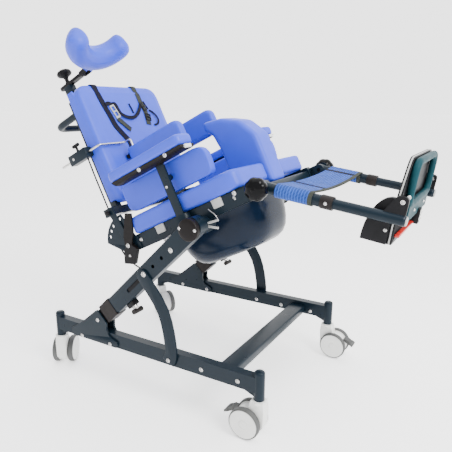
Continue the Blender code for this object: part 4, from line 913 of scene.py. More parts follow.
def studio_world(stage):
    """A white surround behind the chair that falls off to a dim room on the near side."""
    world = bpy.data.worlds.new("studio")
    world.use_nodes = True
    tree = world.node_tree
    back = tree.nodes["Background"]
    back.inputs["Strength"].default_value = stage.sky
    way = new_node(tree, "ShaderNodeTexCoord", (-900, 0))
    split = new_node(tree, "ShaderNodeSeparateXYZ", (-700, 0))
    fall = new_node(tree, "ShaderNodeMapRange", (-480, 0), From_Min=-0.40, From_Max=0.50, To_Min=stage.room)
    joined(
        tree,
        (way, "Generated", split, "Vector"),
        (split, "Y", fall, "Value"),
        (fall, "Result", back, "Color"),
    )
    return world


class CommodeStageOperator(bpy.types.Operator):
    """Set the camera, the pale floor and the soft studio light"""

    bl_idname = "commode.stage"
    bl_label = "Stage and Camera"

    def execute(self, context):
        stage = context.scene.commode_stage
        forward = Vector(
            (
                -math.sin(stage.yaw) * math.cos(stage.pitch),
                math.cos(stage.yaw) * math.cos(stage.pitch),
                -math.sin(stage.pitch),
            )
        )
        right = Vector((math.cos(stage.yaw), math.sin(stage.yaw), 0.0))
        up = right.cross(forward)
        rolled = right * math.cos(stage.roll) + up * math.sin(stage.roll)
        raised = up * math.cos(stage.roll) - right * math.sin(stage.roll)
        turn = Matrix((rolled, raised, -forward)).transposed().to_4x4()
        lens = bpy.data.cameras.new("photo_camera")
        lens.sensor_fit = "HORIZONTAL"
        lens.sensor_width = 36.0
        lens.lens = stage.lens
        lens.clip_start = 0.05
        camera = bpy.data.objects.new("photo_camera", lens)
        camera.matrix_world = Matrix.Translation(stage.eye) @ turn
        context.scene.collection.objects.link(camera)
        context.scene.camera = camera
        bm = bmesh.new()
        bmesh.ops.create_grid(bm, x_segments=1, y_segments=1, size=60.0)
        bmesh.ops.translate(bm, verts=bm.verts, vec=(0.0, 0.0, -0.0006))
        mesh = bpy.data.meshes.new("studio_floor")
        bm.to_mesh(mesh)
        bm.free()
        floor = tuple(stage.floor)
        glow = {"Emission_Color": (1.0, 1.0, 1.0, 1.0), "Emission_Strength": stage.glow}
        finish("floor", floor, 0.985, 0.8, 40.0, (0.65, 0.80), (0.02, 0.0005), **glow)
        mesh.materials.append(LOOKS["floor"])
        ground = bpy.data.objects.new("studio_floor", mesh)
        context.scene.collection.objects.link(ground)
        context.scene.world = studio_world(stage)
        for name, power, size, place, aim in (
            ("key_light", stage.key, 1.3, (2.3, -0.7, 2.5), (0.0, 0.0, 0.6)),
            ("top_light", stage.fill, 2.2, (0.0, -0.6, 3.0), (0.0, 0.0, 0.5)),
        ):
            lamp = bpy.data.lights.new(name, "AREA")
            lamp.energy = power
            lamp.size = size
            light = bpy.data.objects.new(name, lamp)
            aimed = (Vector(aim) - Vector(place)).to_track_quat("-Z", "Y").to_matrix().to_4x4()
            light.matrix_world = Matrix.Translation(place) @ aimed
            context.scene.collection.objects.link(light)
        return {"FINISHED"}


class CommodeCables(bpy.types.Operator):
    """Lay the two control cables"""

    bl_idname = "commode.cables"
    bl_label = "Control Cables"

    def execute(self, context):
        radius = sizes().cable_radius
        routes = {
            "back_cable": (
                (-0.044, -0.2370, 0.3322),
                (-0.042, -0.2410, 0.2666),
                (-0.038, -0.2450, 0.2010),
                (-0.044, -0.2390, 0.1448),
            ),
            "tilt_cable": (
                (-0.052, -0.2383, 0.075),
                (-0.060, -0.2383, 0.030),
                (-0.056, -0.2383, -0.020),
                (-0.034, -0.2383, -0.060),
                (-0.004, -0.2483, -0.083),
                (0.030, -0.2743, -0.092),
            ),
        }
        for node, route in routes.items():
            points = [HINGE + Vector(point) for point in route]
            cord_route(SEAT, points, radius, node)
        return {"FINISHED"}


def inner_plate(foot, sign, look):
    """The gusset of a column foot repeated on the inner face of its rail, with two bolts."""
    face_y, thick = INNER_PLATE
    bm = node_copy(foot)
    rest = []
    for face in bm.faces:
        if face.normal.y * sign < 0.9 or abs(face.calc_center_median().y) < COLUMN_FACE + 0.004:
            rest.append(face)
    bmesh.ops.delete(bm, geom=rest, context="FACES")
    for vert in bm.verts:
        vert.co.y = sign * face_y
    grown = bmesh.ops.extrude_face_region(bm, geom=bm.faces[:])
    moved = [item for item in grown["geom"] if isinstance(item, bmesh.types.BMVert)]
    bmesh.ops.translate(bm, verts=moved, vec=(0.0, sign * thick, 0.0))
    bmesh.ops.recalc_face_normals(bm, faces=bm.faces)
    heads = []
    for spot in beside(INNER_PLATE_BOLTS, sign * face_y):
        heads.append(bolt(spot, (0.0, -sign, 0.0), sizes().bolt_radius, look))
    return gathered([tagged(bm, 0), *heads])


def foot_zone(point, normal):
    """The bare inner tube of a column foot, inside its gusset."""
    return 2 if abs(point.y) < COLUMN_FACE - 0.0005 else 0


class CommodeBase(bpy.types.Operator):
    """Build the castor base: rails, cross bar, column feet and braces"""

    bl_idname = "commode.base"
    bl_label = "Base Frame"

    def execute(self, context):
        large, small = sizes().bolt_radius, sizes().screw_radius
        for side, sign in SIDES:
            out, inward = (0.0, sign, 0.0), (0.0, -sign, 0.0)
            y = sign * RAIL_Y
            rail, foot, brace = f"base_rail_{side}", f"column_foot_{side}", f"brace_{side}"
            extras = [
                bolts([rail], beside(RAIL_BOLTS, y), out, large, 1),
                bolts([rail], beside(INNER_RAIL_BOLTS, y), inward, large, 1),
                bolts([rail], beside(INNER_RAIL_SCREWS, y), inward, small, 1),
            ]
            for x in POSTS:
                extras.append(turned(POST_PROFILE, 36, Matrix.Translation((x, y, 0.0))))
            dressed(rail, ("paint", "steel"), bevel=(0.2, sizes().rail_round), extras=extras)
            extras = [bolts([foot], beside(PLATE_BOLTS, y), out, large, 1), inner_plate(foot, sign, 1)]
            looks = ("paint", "steel", "black")
            dressed(foot, looks, bevel=(0.02, 0.0012), zone=foot_zone, extras=extras)
            extras = [
                bolts([brace], beside(BRACE_TOP_BOLT, y), out, large * 1.25, 1),
                bolts([brace], beside(BRACE_LOW_BOLT, y), out, large, 1),
            ]
            dressed(brace, ("paint", "steel"), bevel=(0.004, 0.0012), extras=extras)
        dressed("base_cross_bar", ("paint",), bevel=(0.2, 0.003))
        return {"FINISHED"}


class CommodeCastors(bpy.types.Operator):
    """Build the twin wheel castors with their brake pedals"""

    bl_idname = "commode.castors"
    bl_label = "Castors"

    def execute(self, context):
        depth = sizes().tyre_depth
        rim = WHEEL_RADIUS - depth
        far = WHEEL_WEB + WHEEL_WIDE
        profile = (
            (0.0, WHEEL_WEB + 0.0002),
            (rim, WHEEL_WEB + 0.0002),
            (WHEEL_RADIUS - 0.0030, WHEEL_WEB),
            (WHEEL_RADIUS - 0.0006, WHEEL_WEB + 0.0022),
            (WHEEL_RADIUS, WHEEL_WEB + 0.0050),
            (WHEEL_RADIUS, far - 0.0060),
            (WHEEL_RADIUS - 0.0010, far - 0.0026),
            (WHEEL_RADIUS - 0.0034, far - 0.0004),
            (rim + 0.0007, far),
            (rim, far - 0.0012),
            (rim - 0.0007, far + 0.0002),
            (rim - 0.0050, far + 0.0004),
            (0.0240, far - 0.0004),
            (0.0150, far - 0.0010),
            (0.0142, far - 0.0018),
            (0.0132, far - 0.0010),
            (0.0060, far - 0.0006),
            (0.0, far - 0.0006),
        )
        for spot in CASTORS:
            place = castor_place(spot)
            bm = bmesh.new()
            for sign in (-1.0, 1.0):
                wheel = lathed(profile, 64)
                for face in wheel.faces:
                    centre = face.calc_center_median()
                    face.material_index = 1 if math.hypot(centre.x, centre.y) > rim else 0
                wheel.transform(place @ across(sign))
                bmesh.ops.recalc_face_normals(wheel, faces=wheel.faces)
                added(bm, wheel)
            added(bm, turned(SPINDLE_PROFILE, 16, place @ across(1.0), 2))
            node = f"castor_wheels_{spot}"
            made(f"{node}_pair", bm, ("nylon", "rubber", "steel"), node)
            x, y, _ = JOINTS[f"swivel_{spot}"]["pos_m"]
            collar = turned(COLLAR_PROFILE, 40, Matrix.Translation((x, y, 0.0)))
            looks = ("nylon", "cap")
            dressed(f"castor_fork_{spot}", looks, bevel=(0.004, 0.0016), extras=[collar])
        for spot in CASTORS[:2]:
            place = castor_place(spot) @ Matrix.Translation(PEDAL_HINGE)
            slope = Matrix.Rotation(-PEDAL_SLOPE, 4, "Y")
            toe = place @ Matrix.Translation((-0.029, 0.0, -0.0125)) @ slope
            extras = [brick((0.015, 0.041, 0.0075), toe, 0.003, 3)]
            for k in range(3):
                at = Matrix.Translation((-0.0135 - 0.0048 * k, 0.0, 0.0018 - 0.0033 * k))
                extras.append(brick((0.0018, 0.026, 0.0016), place @ at @ slope, 0.0006))
            dressed(f"brake_pedal_{spot}", ("rubber",), bevel=(0.006, 0.0012), extras=extras)
        return {"FINISHED"}


class CommodeColumns(bpy.types.Operator):
    """Build the lifting columns, their pivot covers and height locks"""

    bl_idname = "commode.columns"
    bl_label = "Lifting Columns"

    def execute(self, context):
        size = sizes()
        back = COLUMN.inverted()
        pivot = COLUMN.translation

        def bush_zone(point, normal):
            return 1 if (back @ point).x < COLUMN_LOW + BUSH_LONG + 0.0005 else 0

        def lock_zone(point, normal):
            height = (back @ point).z
            return sum(height <= level for level in LOCK_LEVELS)

        for side, sign in SIDES:
            out = (0.0, sign, 0.0)
            y = sign * COLUMN_Y
            tube_node = f"column_tube_{side}"
            extras = [bolts([tube_node], beside(COLUMN_BOLT, y), out, size.bolt_radius * 1.15, 2)]
            looks = ("paint", "bush", "steel")
            bevel = (0.2, size.rail_round)
            dressed(tube_node, looks, bevel, bush_zone, extras=extras)
            cover = f"pivot_cover_{side}"
            spots = [pivot + Vector((x, y, 0.003)) for x in (-0.0265, 0.0265)]
            place = Matrix.Translation(pivot + Vector((0.0, sign * COLUMN_FACE, 0.0))) @ across(sign)
            disc = turned(COVER_PROFILE, 48, place)
            extras = [disc, bolts([cover], spots, out, size.screw_radius * 1.1, 1)]
            dressed(cover, ("umber", "steel"), extras=extras)
            looks = ("black", "steel", "bush")
            dressed(f"height_lock_{side}", looks, bevel=(0.015, 0.0015), zone=lock_zone)
        return {"FINISHED"}


def oval_ring(bm, rear, front, half, height, power):
    """The edges of a superellipse ring, as one level of a moulded tub."""
    ring = bmesh.ops.create_circle(bm, segments=96, radius=1.0)["verts"]
    middle, reach = (rear + front) / 2, (front - rear) / 2
    for vert in ring:
        turn = math.atan2(vert.co.y, vert.co.x)
        c, s = math.cos(turn), math.sin(turn)
        along = reach * math.copysign(abs(c) ** (2 / power), c)
        side = half * math.copysign(abs(s) ** (2 / power), s)
        vert.co = (middle + along, side, height)
    return ring_edges(ring)


def tub():
    """The commode pan: a flanged rim, tapering walls and a rounded floor, with an inner skin."""
    rear, front = -0.236, 0.128
    levels = (
        (0.118, 0.060, -0.126, 2.6),
        (0.062, 0.103, -0.1255, 3.0),
        (0.043, 0.119, -0.1160, 3.2),
        (0.030, 0.132, -0.0980, 3.4),
        (0.020, 0.141, -0.0720, 3.5),
        (0.014, 0.146, -0.0490, 3.6),
        (0.010, 0.150, 0.0270, 4.0),
        (0.0085, 0.1515, 0.0294, 4.0),
        (0.006, 0.154, 0.0300, 4.2),
        (0.0008, 0.2127, 0.0300, 6.0),
        (0.0, 0.2135, 0.0292, 6.0),
        (0.0, 0.2135, 0.0248, 6.0),
        (0.0008, 0.2127, 0.0240, 6.0),
        (0.004, 0.156, 0.0240, 4.0),
        (0.005, 0.1545, 0.0225, 4.0),
        (0.007, 0.152, -0.0150, 3.8),
        (0.010, 0.150, -0.0480, 3.6),
        (0.016, 0.145, -0.0740, 3.5),
        (0.026, 0.136, -0.1000, 3.4),
        (0.040, 0.122, -0.1190, 3.2),
        (0.060, 0.105, -0.1295, 3.0),
        (0.120, 0.060, -0.1300, 2.6),
    )
    bm = bmesh.new()
    rings = [oval_ring(bm, rear + inset, front - inset, half, n, power) for inset, half, n, power in levels]
    for low, high in zip(rings, rings[1:]):
        bmesh.ops.bridge_loops(bm, edges=low + high)
    close_ends(bm)
    return merged(bm)


class CommodeSeat(bpy.types.Operator):
    """Build the seat frame, the armrest frames and the commode pan"""

    bl_idname = "commode.seat"
    bl_label = "Seat Frame and Pan"

    def execute(self, context):
        size = sizes()
        back = SEAT.inverted()
        pivot = SEAT.translation
        fittings = []
        for side, sign in SIDES:
            out = (0.0, sign, 0.0)
            face = sign * CLIP_Y
            for s in CLIP_PLACES:
                clip = brick((0.037, 0.007, 0.026), SEAT @ Matrix.Translation((s, face, 0.0415)), 0.002, 3)
                fittings.append(tagged(clip, 2))
                lip = brick((0.037, 0.010, 0.005), SEAT @ Matrix.Translation((s, face, 0.0535)), 0.0015)
                fittings.append(tagged(lip, 2))
            rail_spots = [SEAT @ Vector((s, sign * 0.23, 0.036)) for s in (-0.262, 0.135)]
            fittings.append(bolts(["seat_frame"], rail_spots, out, size.bolt_radius, 1))
            fittings.append(bolts(["seat_frame"], beside(KNEE_BOLT, sign * 0.23), out, size.bolt_radius, 1))
            at = sign * SPRING_Y
            fittings.append(coil((-0.020, at, 0.5400), (0.014, at, 0.5665), 0.0042, 0.0011, 9, 1))
            fittings.append(tagged(tube(beside(HOOK_LINE, at), 0.0016, 5, 8), 1))
            at = sign * LINK_Y
            start = Vector((pivot.x, at, pivot.z))
            for end in beside(LINK_ENDS, at):
                reach = Vector(end) - start
                bar = [start + reach * share for share in (0.2, 0.5, 0.8, 1.0)]
                fittings.append(tagged(tube(bar, 0.0036, 2, 12), 2))
        dressed("seat_frame", ("paint", "steel", "cap"), bevel=(0.3, 0.0045), extras=fittings)

        def tray_zone(point, normal):
            return 1 if (back @ point).z > TRAY_LEVEL else 0

        for side, sign in SIDES:
            node = f"armrest_frame_{side}"
            out = (0.0, sign, 0.0)
            post_screw = [SEAT @ Vector((-0.0600, sign * 0.26, 0.1493))]
            tray_screws = [SEAT @ Vector((s, sign * 0.276, 0.2285)) for s in (0.0104, -0.1003)]
            tray_end = SEAT @ Matrix.Translation((0.0765, sign * 0.279, 0.2268))
            plug = brick((0.009, 0.030, 0.011), tray_end, 0.002, 3)
            extras = [
                bolts([node], post_screw, out, size.screw_radius, 2),
                bolts([node], tray_screws, out, size.bolt_radius, 2),
                tagged(plug, 3),
            ]
            looks = ("paint", "umber", "steel", "nylon")
            dressed(node, looks, bevel=(0.03, 0.0012), zone=tray_zone, extras=extras)
        bowl = tub()
        bowl.transform(SEAT)
        made("commode_pan_bowl", bowl, ("pan",), "commode_pan", 50.0)
        return {"FINISHED"}


class CommodeFoam(bpy.types.Operator):
    """Build the moulded foam cushions and pads"""

    bl_idname = "commode.foam"
    bl_label = "Foam Cushions and Pads"

    def execute(self, context):
        pads = ["seat_cushion", "deflector"]
        for side, _ in SIDES:
            pads += [f"armrest_pad_{side}", f"side_panel_{side}", f"trunk_pad_{side}"]
        for node in pads:
            softened(node)
        back = SEAT.inverted()

        def taller(point):
            spot = back @ point
            spot.z += BACK_RISE * min(1.0, max(0.0, (spot.z - 0.30) / 0.30))
            return SEAT @ spot

        wings = []
        for _, sign in SIDES:
            place = SEAT @ Matrix.Translation((-0.3385, sign * 0.2132, 0.3955))
            wings.append(brick((0.030, 0.0062, 0.395), place, 0.002))
        softened("backrest_cushion", more=wings, shape=taller)
        tilt = joint_place("headrest_tilt", -SEAT_LEAN)
        level = tilt.inverted()

        def horned(point):
            """Draw the top of each end of the headrest up into a slimmer horn."""
            spot = level @ point
            share = min(1.0, max(0.0, (abs(spot.y) - 0.040) / 0.070))
            rise = spot.z - HEAD_MIDDLE[1] - 0.018 * share
            if rise > 0.0:
                side = math.copysign(HEAD_END, spot.y)
                spot.y = side + (spot.y - side) * (1.0 - 0.42 * share * min(1.0, rise / 0.046))
                spot.z += 0.24 * share * rise
            return tilt @ spot

        def lug_zone(point, normal):
            spot = level @ point
            return 1 if spot.x < 0.033 and abs(spot.y) < 0.022 and abs(spot.z) < 0.014 else 0

        softened("headrest_pad", 0.0008, shape=horned, zone=lug_zone, again=4)
        return {"FINISHED"}


def mushroom(place):
    """A screw knob with a thin stem and a fluted cap."""
    profile = (
        (0.0, 0.0004),
        (0.0056, 0.0004),
        (0.0056, 0.0125),
        (0.0098, 0.0127),
        (0.0098, 0.0165),
        (0.0080, 0.0190),
        (0.0078, 0.0300),
        (0.0100, 0.0365),
        (0.0160, 0.0420),
        (0.0255, 0.0470),
        (0.0295, 0.0505),
        (0.0300, 0.0560),
        (0.0280, 0.0620),
        (0.0225, 0.0660),
        (0.0120, 0.0678),
        (0.0, 0.0680),
    )
    knob = lathed(profile, 48)
    fluted(knob, 12, 0.06, 0.020)
    knob.transform(place)
    return knob


def fluted(bm, lobes, depth, least):
    """Press narrow grooves between the lobes of a turned shape's outer wall."""
    for vert in bm.verts:
        reach = math.hypot(vert.co.x, vert.co.y)
        if reach > least:
            crest = 0.5 + 0.5 * math.cos(lobes * math.atan2(vert.co.y, vert.co.x))
            wave = 1.0 - depth * crest**2
            vert.co.x *= wave
            vert.co.y *= wave
    bm.normal_update()


class CommodeBack(bpy.types.Operator):
    """Build the back frame, push handle, headrest bar, trunk rods and their knobs"""

    bl_idname = "commode.back"
    bl_label = "Back Frame and Handles"

    def execute(self, context):
        size = sizes()
        back = SEAT.inverted()

        def hinge_zone(point, normal):
            spot = (back @ point) - HINGE
            if abs(spot.y) < 0.2465 or spot.z > 0.103:
                return 0
            if spot.z < -0.010:
                return 2
            return 1 if abs(spot.y) > 0.2535 else 0

        fittings = []
        for side, sign in SIDES:
            out = (0.0, sign, 0.0)
            node = ["backrest_frame"]
            pin = [SEAT @ (HINGE + Vector((-0.003, sign * 0.25, 0.0)))]
            fittings.append(bolts(node, pin, out, size.bolt_radius * 1.1, 3))
            stop_bolt = [SEAT @ (HINGE + Vector((-0.012, sign * 0.25, -0.034)))]
            fittings.append(bolts(node, stop_bolt, out, size.screw_radius, 3))
            spot = seated(node, SEAT @ (HINGE + Vector((-0.036, sign * 0.25, 0.128))), out)
            fittings.append(turned(ELBOW_KNOB, 28, standing(spot, out), 2))
            block_bolt = [SEAT @ Vector((-0.405, sign * ROD_Y, 0.385))]
            fittings.append(bolts(node, block_bolt, out, size.screw_radius, 3))
        looks = ("paint", "umber", "black", "steel")
        bevel = (0.022, 0.0014)
        dressed("backrest_frame", looks, bevel, hinge_zone, extras=fittings)
        start, reach, half, height = -0.3658, -0.512, 0.165, 0.545
        bends = ((start, -half), (reach, -half), (reach, half), (start, half))
        corners = [(s, y, height) for s, y in bends]
        handle = tube(rounded_corners(corners, 0.040, 9), 0.0125, 0, 28)
        handle.transform(SEAT)
        made("push_handle_bar", handle, ("paint",), "push_handle", 50.0)
        head = joint_place("head_knob_turn", -SEAT_LEAN)

        def bar_zone(point, normal):
            return 1 if (head.inverted() @ point).x < -0.040 else 0

        dressed("headrest_bar", ("black", "cap"), bevel=(0.004, 0.0012), zone=bar_zone)
        made("headrest_knob_cap", mushroom(head), ("black",), "headrest_knob")
        for side, sign in SIDES:
            dressed(f"trunk_rod_{side}", ("steel",), sharp=60.0)
            node = f"trunk_knob_{side}"
            place = joint_place(f"trunk_knob_turn_{side}", -SEAT_LEAN)
            top = place @ Matrix.Translation((0.0, 0.0, 0.024)) @ Matrix.Rotation(math.pi / 2, 4, "Y")
            bm = gathered([turned(STEM_PROFILE, 20, place), turned(GRIP_PROFILE, 20, top)])
            made(f"{node}_tee", bm, ("black",), node)
        return {"FINISHED"}


def on_back(y, n, lift):
    """A point a little above the front of the back cushion, in the seat's frame."""
    start = SEAT @ Vector((-0.20, y, n))
    hit = surface_of("backrest_cushion").ray_cast(start, (SEAT.to_3x3() @ Vector((-1.0, 0.0, 0.0))), 0.2)[0]
    if hit is None:
        raise ValueError(f"the back cushion isn't under {y}, {n}")
    spot = SEAT.inverted() @ hit
    return Vector((spot.x + lift, y, n))


def laid(route, lift, steps=5, bulge=0.0):
    """A smooth line over the back cushion through (y, n) points, lifted in its middle by the bulge."""
    line = smooth_line([(0.0, y, n) for y, n in route], steps)
    last = len(line) - 1
    return [on_back(p.y, p.z, lift + bulge * math.sin(math.pi * i / last)) for i, p in enumerate(line)]


def band(line, width, thick, look, faces=None):
    """A flat strap along a line in the seat's frame, its flat side along the given face directions."""
    faces = faces or [Vector((1.0, 0.0, 0.0))] * len(line)
    strap = swept(stations_along(line, faces), (width / 2, thick / 2, 4))
    strap.transform(SEAT)
    return tagged(strap, look)


def over_top(y, route, lift):
    """A strap line from behind the back cushion, over its top edge and down its front."""
    line = [
        Vector((-0.3394, y, 0.566)),
        Vector((-0.3394, y, 0.590 + BACK_RISE)),
        Vector((-0.3380, y, 0.6020 + BACK_RISE)),
        Vector((-0.3310, y, 0.6082 + BACK_RISE)),
        Vector((-0.3150, y, 0.6088 + BACK_RISE)),
        Vector((-0.3010, y, 0.6078 + BACK_RISE)),
        Vector((-0.2945, y, 0.6020 + BACK_RISE)),
    ]
    ways = ((-1, 0), (-1, 0), (-0.8, 0.6), (-0.3, 0.95), (0, 1), (0.35, 0.94), (0.85, 0.53))
    faces = [Vector((s, 0.0, n)) for s, n in ways]
    flat = laid(route, lift)
    return line + flat, faces + [Vector((1.0, 0.0, 0.0))] * len(flat)


def buckle(start, stop, width, look):
    """A ladder lock: two side bars and three cross bars, lying on the back cushion."""
    first, last = on_back(*start, 0.0042), on_back(*stop, 0.0042)
    along = last - first
    side = Vector((1.0, 0.0, 0.0)).cross(along).normalized()
    turn = Matrix((side, along.normalized(), side.cross(along.normalized()))).transposed().to_4x4()
    place = SEAT @ Matrix.Translation((first + last) / 2) @ turn
    long = along.length
    shapes = []
    for sign in (-1.0, 1.0):
        at = Matrix.Translation((sign * (width / 2 - 0.002), 0.0, 0.0))
        shapes.append(brick((0.004, long, 0.0045), place @ at, 0.0012))
    for share, wide in ((-0.44, 0.0055), (-0.02, 0.0050), (0.42, 0.0070)):
        at = Matrix.Translation((0.0, share * long, 0.0008 if wide > 0.0052 else -0.0004))
        shapes.append(brick((width - 0.002, wide, 0.0042), place @ at, 0.0012))
    return tagged(gathered(shapes), look)


class CommodeHarness(bpy.types.Operator):
    """Lay the shoulder harness over the back cushion"""

    bl_idname = "commode.harness"
    bl_label = "Shoulder Harness"

    def execute(self, context):
        size = sizes()
        wide, thick = size.strap_width, size.strap_thick
        lift = thick / 2 + 0.0006
        near = (
            (-0.132, 0.590),
            (-0.130, 0.570),
            (-0.123, 0.531),
            (-0.114, 0.492),
            (-0.107, 0.456),
            (-0.088, 0.423),
            (-0.068, 0.390),
            (-0.072, 0.362),
            (-0.097, 0.328),
        )
        far = (
            (0.078, 0.590),
            (0.082, 0.575),
            (0.083, 0.540),
            (0.089, 0.518),
            (0.088, 0.490),
            (0.080, 0.452),
        )
        shapes = []
        line, faces = over_top(-0.132, near, lift)
        shapes.append(band(line, wide, thick, 0, faces))
        line, faces = over_top(0.078, far, lift)
        shapes.append(band(line, wide, thick, 1, faces))
        yoke = [Vector((-0.3400, y, 0.574)) for y in (-0.132, -0.060, 0.010, 0.078)]
        shapes.append(band(yoke, 0.022, thick, 0, [Vector((-1.0, 0.0, 0.0))] * 4))
        slack = (
            (-0.088, 0.537),
            (-0.068, 0.537),
            (-0.064, 0.515),
            (-0.058, 0.497),
            (-0.031, 0.484),
            (0.003, 0.483),
            (0.034, 0.498),
            (0.060, 0.521),
            (0.077, 0.540),
        )
        shapes.append(band(laid(slack, lift + 0.0020, 6, 0.004), 0.013, thick, 0))
        for tail, above, across_tail, look in (
            (((-0.118, 0.535), (-0.100, 0.540), (-0.088, 0.537)), 0.0022, 0.015, 0),
            (((-0.084, 0.482), (-0.062, 0.460), (-0.037, 0.435)), 0.0026, 0.020, 1),
            (((-0.116, 0.334), (-0.094, 0.336), (-0.073, 0.346)), 0.0022, 0.014, 0),
            (((0.011, 0.540), (0.014, 0.521), (0.016, 0.502)), 0.0010, 0.007, 0),
        ):
            shapes.append(band(laid(tail, lift + above), across_tail, thick, look))
        loop = (
            (0.112, 0.512),
            (0.125, 0.505),
            (0.140, 0.487),
            (0.143, 0.469),
            (0.133, 0.454),
            (0.112, 0.450),
        )
        shapes.append(band(laid(loop, lift + 0.0018, 6, 0.003), 0.008, thick, 0))
        shapes.append(buckle((-0.091, 0.533), (-0.076, 0.483), 0.024, 2))
        shapes.append(buckle((0.084, 0.545), (0.096, 0.512), 0.030, 3))
        shapes.append(buckle((0.094, 0.498), (0.086, 0.470), 0.028, 3))
        bm = gathered(shapes)
        looks = ("webbing", "olive", "cap", "black")
        made("shoulder_straps", bm, looks, "shoulder_harness", 40.0)
        return {"FINISHED"}


class CommodeLegs(bpy.types.Operator):
    """Build the leg tubes, knee knobs and calf sling"""

    bl_idname = "commode.legs"
    bl_label = "Leg Tubes and Sling"

    def execute(self, context):
        size = sizes()
        knee = JOINTS["knee"]["pos_m"]
        along = Matrix.Rotation(math.pi / 2, 4, "Y")

        def bracket_zone(point, normal):
            spot = LEG.inverted() @ point
            return 1 if spot.z > 0.0135 and abs(normal.y) > 0.9 or spot.z > 0.0175 else 0

        for side, sign in SIDES:
            out = (0.0, sign, 0.0)
            y = sign * LEG_Y
            node = f"leg_tube_{side}"
            sleeve = lathed(LEG_PROFILE, 40)
            for face in sleeve.faces:
                face.material_index = 1 if face.calc_center_median().z > 0.1715 else 0
            down = LEG @ Matrix.Translation((0.0, y, 0.0)) @ along
            sleeve.transform(down)
            bmesh.ops.recalc_face_normals(sleeve, faces=sleeve.faces)
            clamp = bolt(seated([node], LEG @ Vector((0.189, y, 0.0)), out), out, size.screw_radius, 2)
            bm = gathered([sleeve, turned(EYE_PROFILE, 36, LEG @ across(sign)), clamp])
            made(f"{node}_sleeve", bm, ("paint", "bush", "steel"), node)
            node = f"lower_leg_tube_{side}"
            extras = [
                turned(PLUG_PROFILE, 28, down, 3),
                turned(LOWER_TUBE_PROFILE, 40, down),
                bolt(LEG @ Vector((FOOT_U, y + sign * 0.0072, FOOT_V)), out, size.screw_radius, 2),
                bolts([node], [LEG @ Vector((0.300, y, 0.0))], (0.0, -sign, 0.0), size.screw_radius, 2),
            ]
            looks = ("paint", "black", "steel", "cap")
            dressed(node, looks, bevel=(0.03, 0.0012), zone=bracket_zone, extras=extras)
            node = f"knee_knob_{side}"
            knob = lathed(KNOB_PROFILE, 96)
            fluted(knob, 8, 0.05, 0.0215)
            spot = lathed(KNOB_SPOT_PROFILE, 24)
            bm = gathered([knob, tagged(spot, 1 if sign > 0 else 0)])
            bm.transform(Matrix.Translation(knee) @ across(sign))
            bmesh.ops.recalc_face_normals(bm, faces=bm.faces)
            made(f"{node}_ball", bm, ("gloss", "steel"), node, 50.0)
        self.hang_sling(size)
        return {"FINISHED"}

    def hang_sling(self, size):
        """A sleeve round each leg tube and the sagging band between them, as one solidified sheet."""
        radius = LEG_OUTER + 0.0019
        section = []
        for k in range(25):
            turn = math.radians(12.5 * k - 300.0)
            section.append((-LEG_Y + radius * math.sin(turn), radius * math.cos(turn)))
        for k in range(1, 40):
            share = -1.0 + 2.0 * k / 40
            section.append((share * LEG_Y, radius - SLING_SAG * (1.0 - share**2)))
        for k in range(25):
            turn = math.radians(12.5 * k)
            section.append((LEG_Y + radius * math.sin(turn), radius * math.cos(turn)))
        reach = [0.0]
        for (y0, v0), (y1, v1) in zip(section, section[1:]):
            reach.append(reach[-1] + math.hypot(y1 - y0, v1 - v0))
        rows = 27
        bm = bmesh.new()
        bmesh.ops.create_grid(bm, x_segments=rows, y_segments=len(section) - 1, size=0.5)
        layer = bm.loops.layers.uv.new("cells")
        place = {}
        for vert in bm.verts:
            i = round((vert.co.x + 0.5) * rows)
            j = round((vert.co.y + 0.5) * (len(section) - 1))
            place[vert] = (i, j)
        for face in bm.faces:
            for loop in face.loops:
                i, j = place[loop.vert]
                loop[layer].uv = (reach[j] / size.mesh_cell, SLING_LONG * i / rows / size.mesh_cell)
            i = sum(place[vert][0] for vert in face.verts) / 4
            j = sum(place[vert][1] for vert in face.verts) / 4
            face.material_index = self.sling_zone(SLING_LONG * (1.0 - i / rows), section[int(j)][0])
        for vert, (i, j) in place.items():
            y, v = section[j]
            vert.co = LEG @ Vector((SLING_FROM + SLING_LONG * i / rows, y, v))
        bmesh.ops.recalc_face_normals(bm, faces=bm.faces)
        looks = ("sling", "olive", "webbing")
        piece = made("calf_sling_mesh", bm, looks, "calf_sling", 60.0)
        cloth = piece.modifiers.new("Cloth", "SOLIDIFY")
        cloth.thickness = 0.0028
        cloth.offset = 0.0

    def sling_zone(self, from_front, y):
        """Hem at the front edge, dark strips of painted shade along the band in the webbing finish, mesh
        elsewhere.
        """
        if from_front < SLING_HEM:
            return 1
        return 2 if any(low < y < high for low, high in SLING_SHADE_STRIPS) else 0


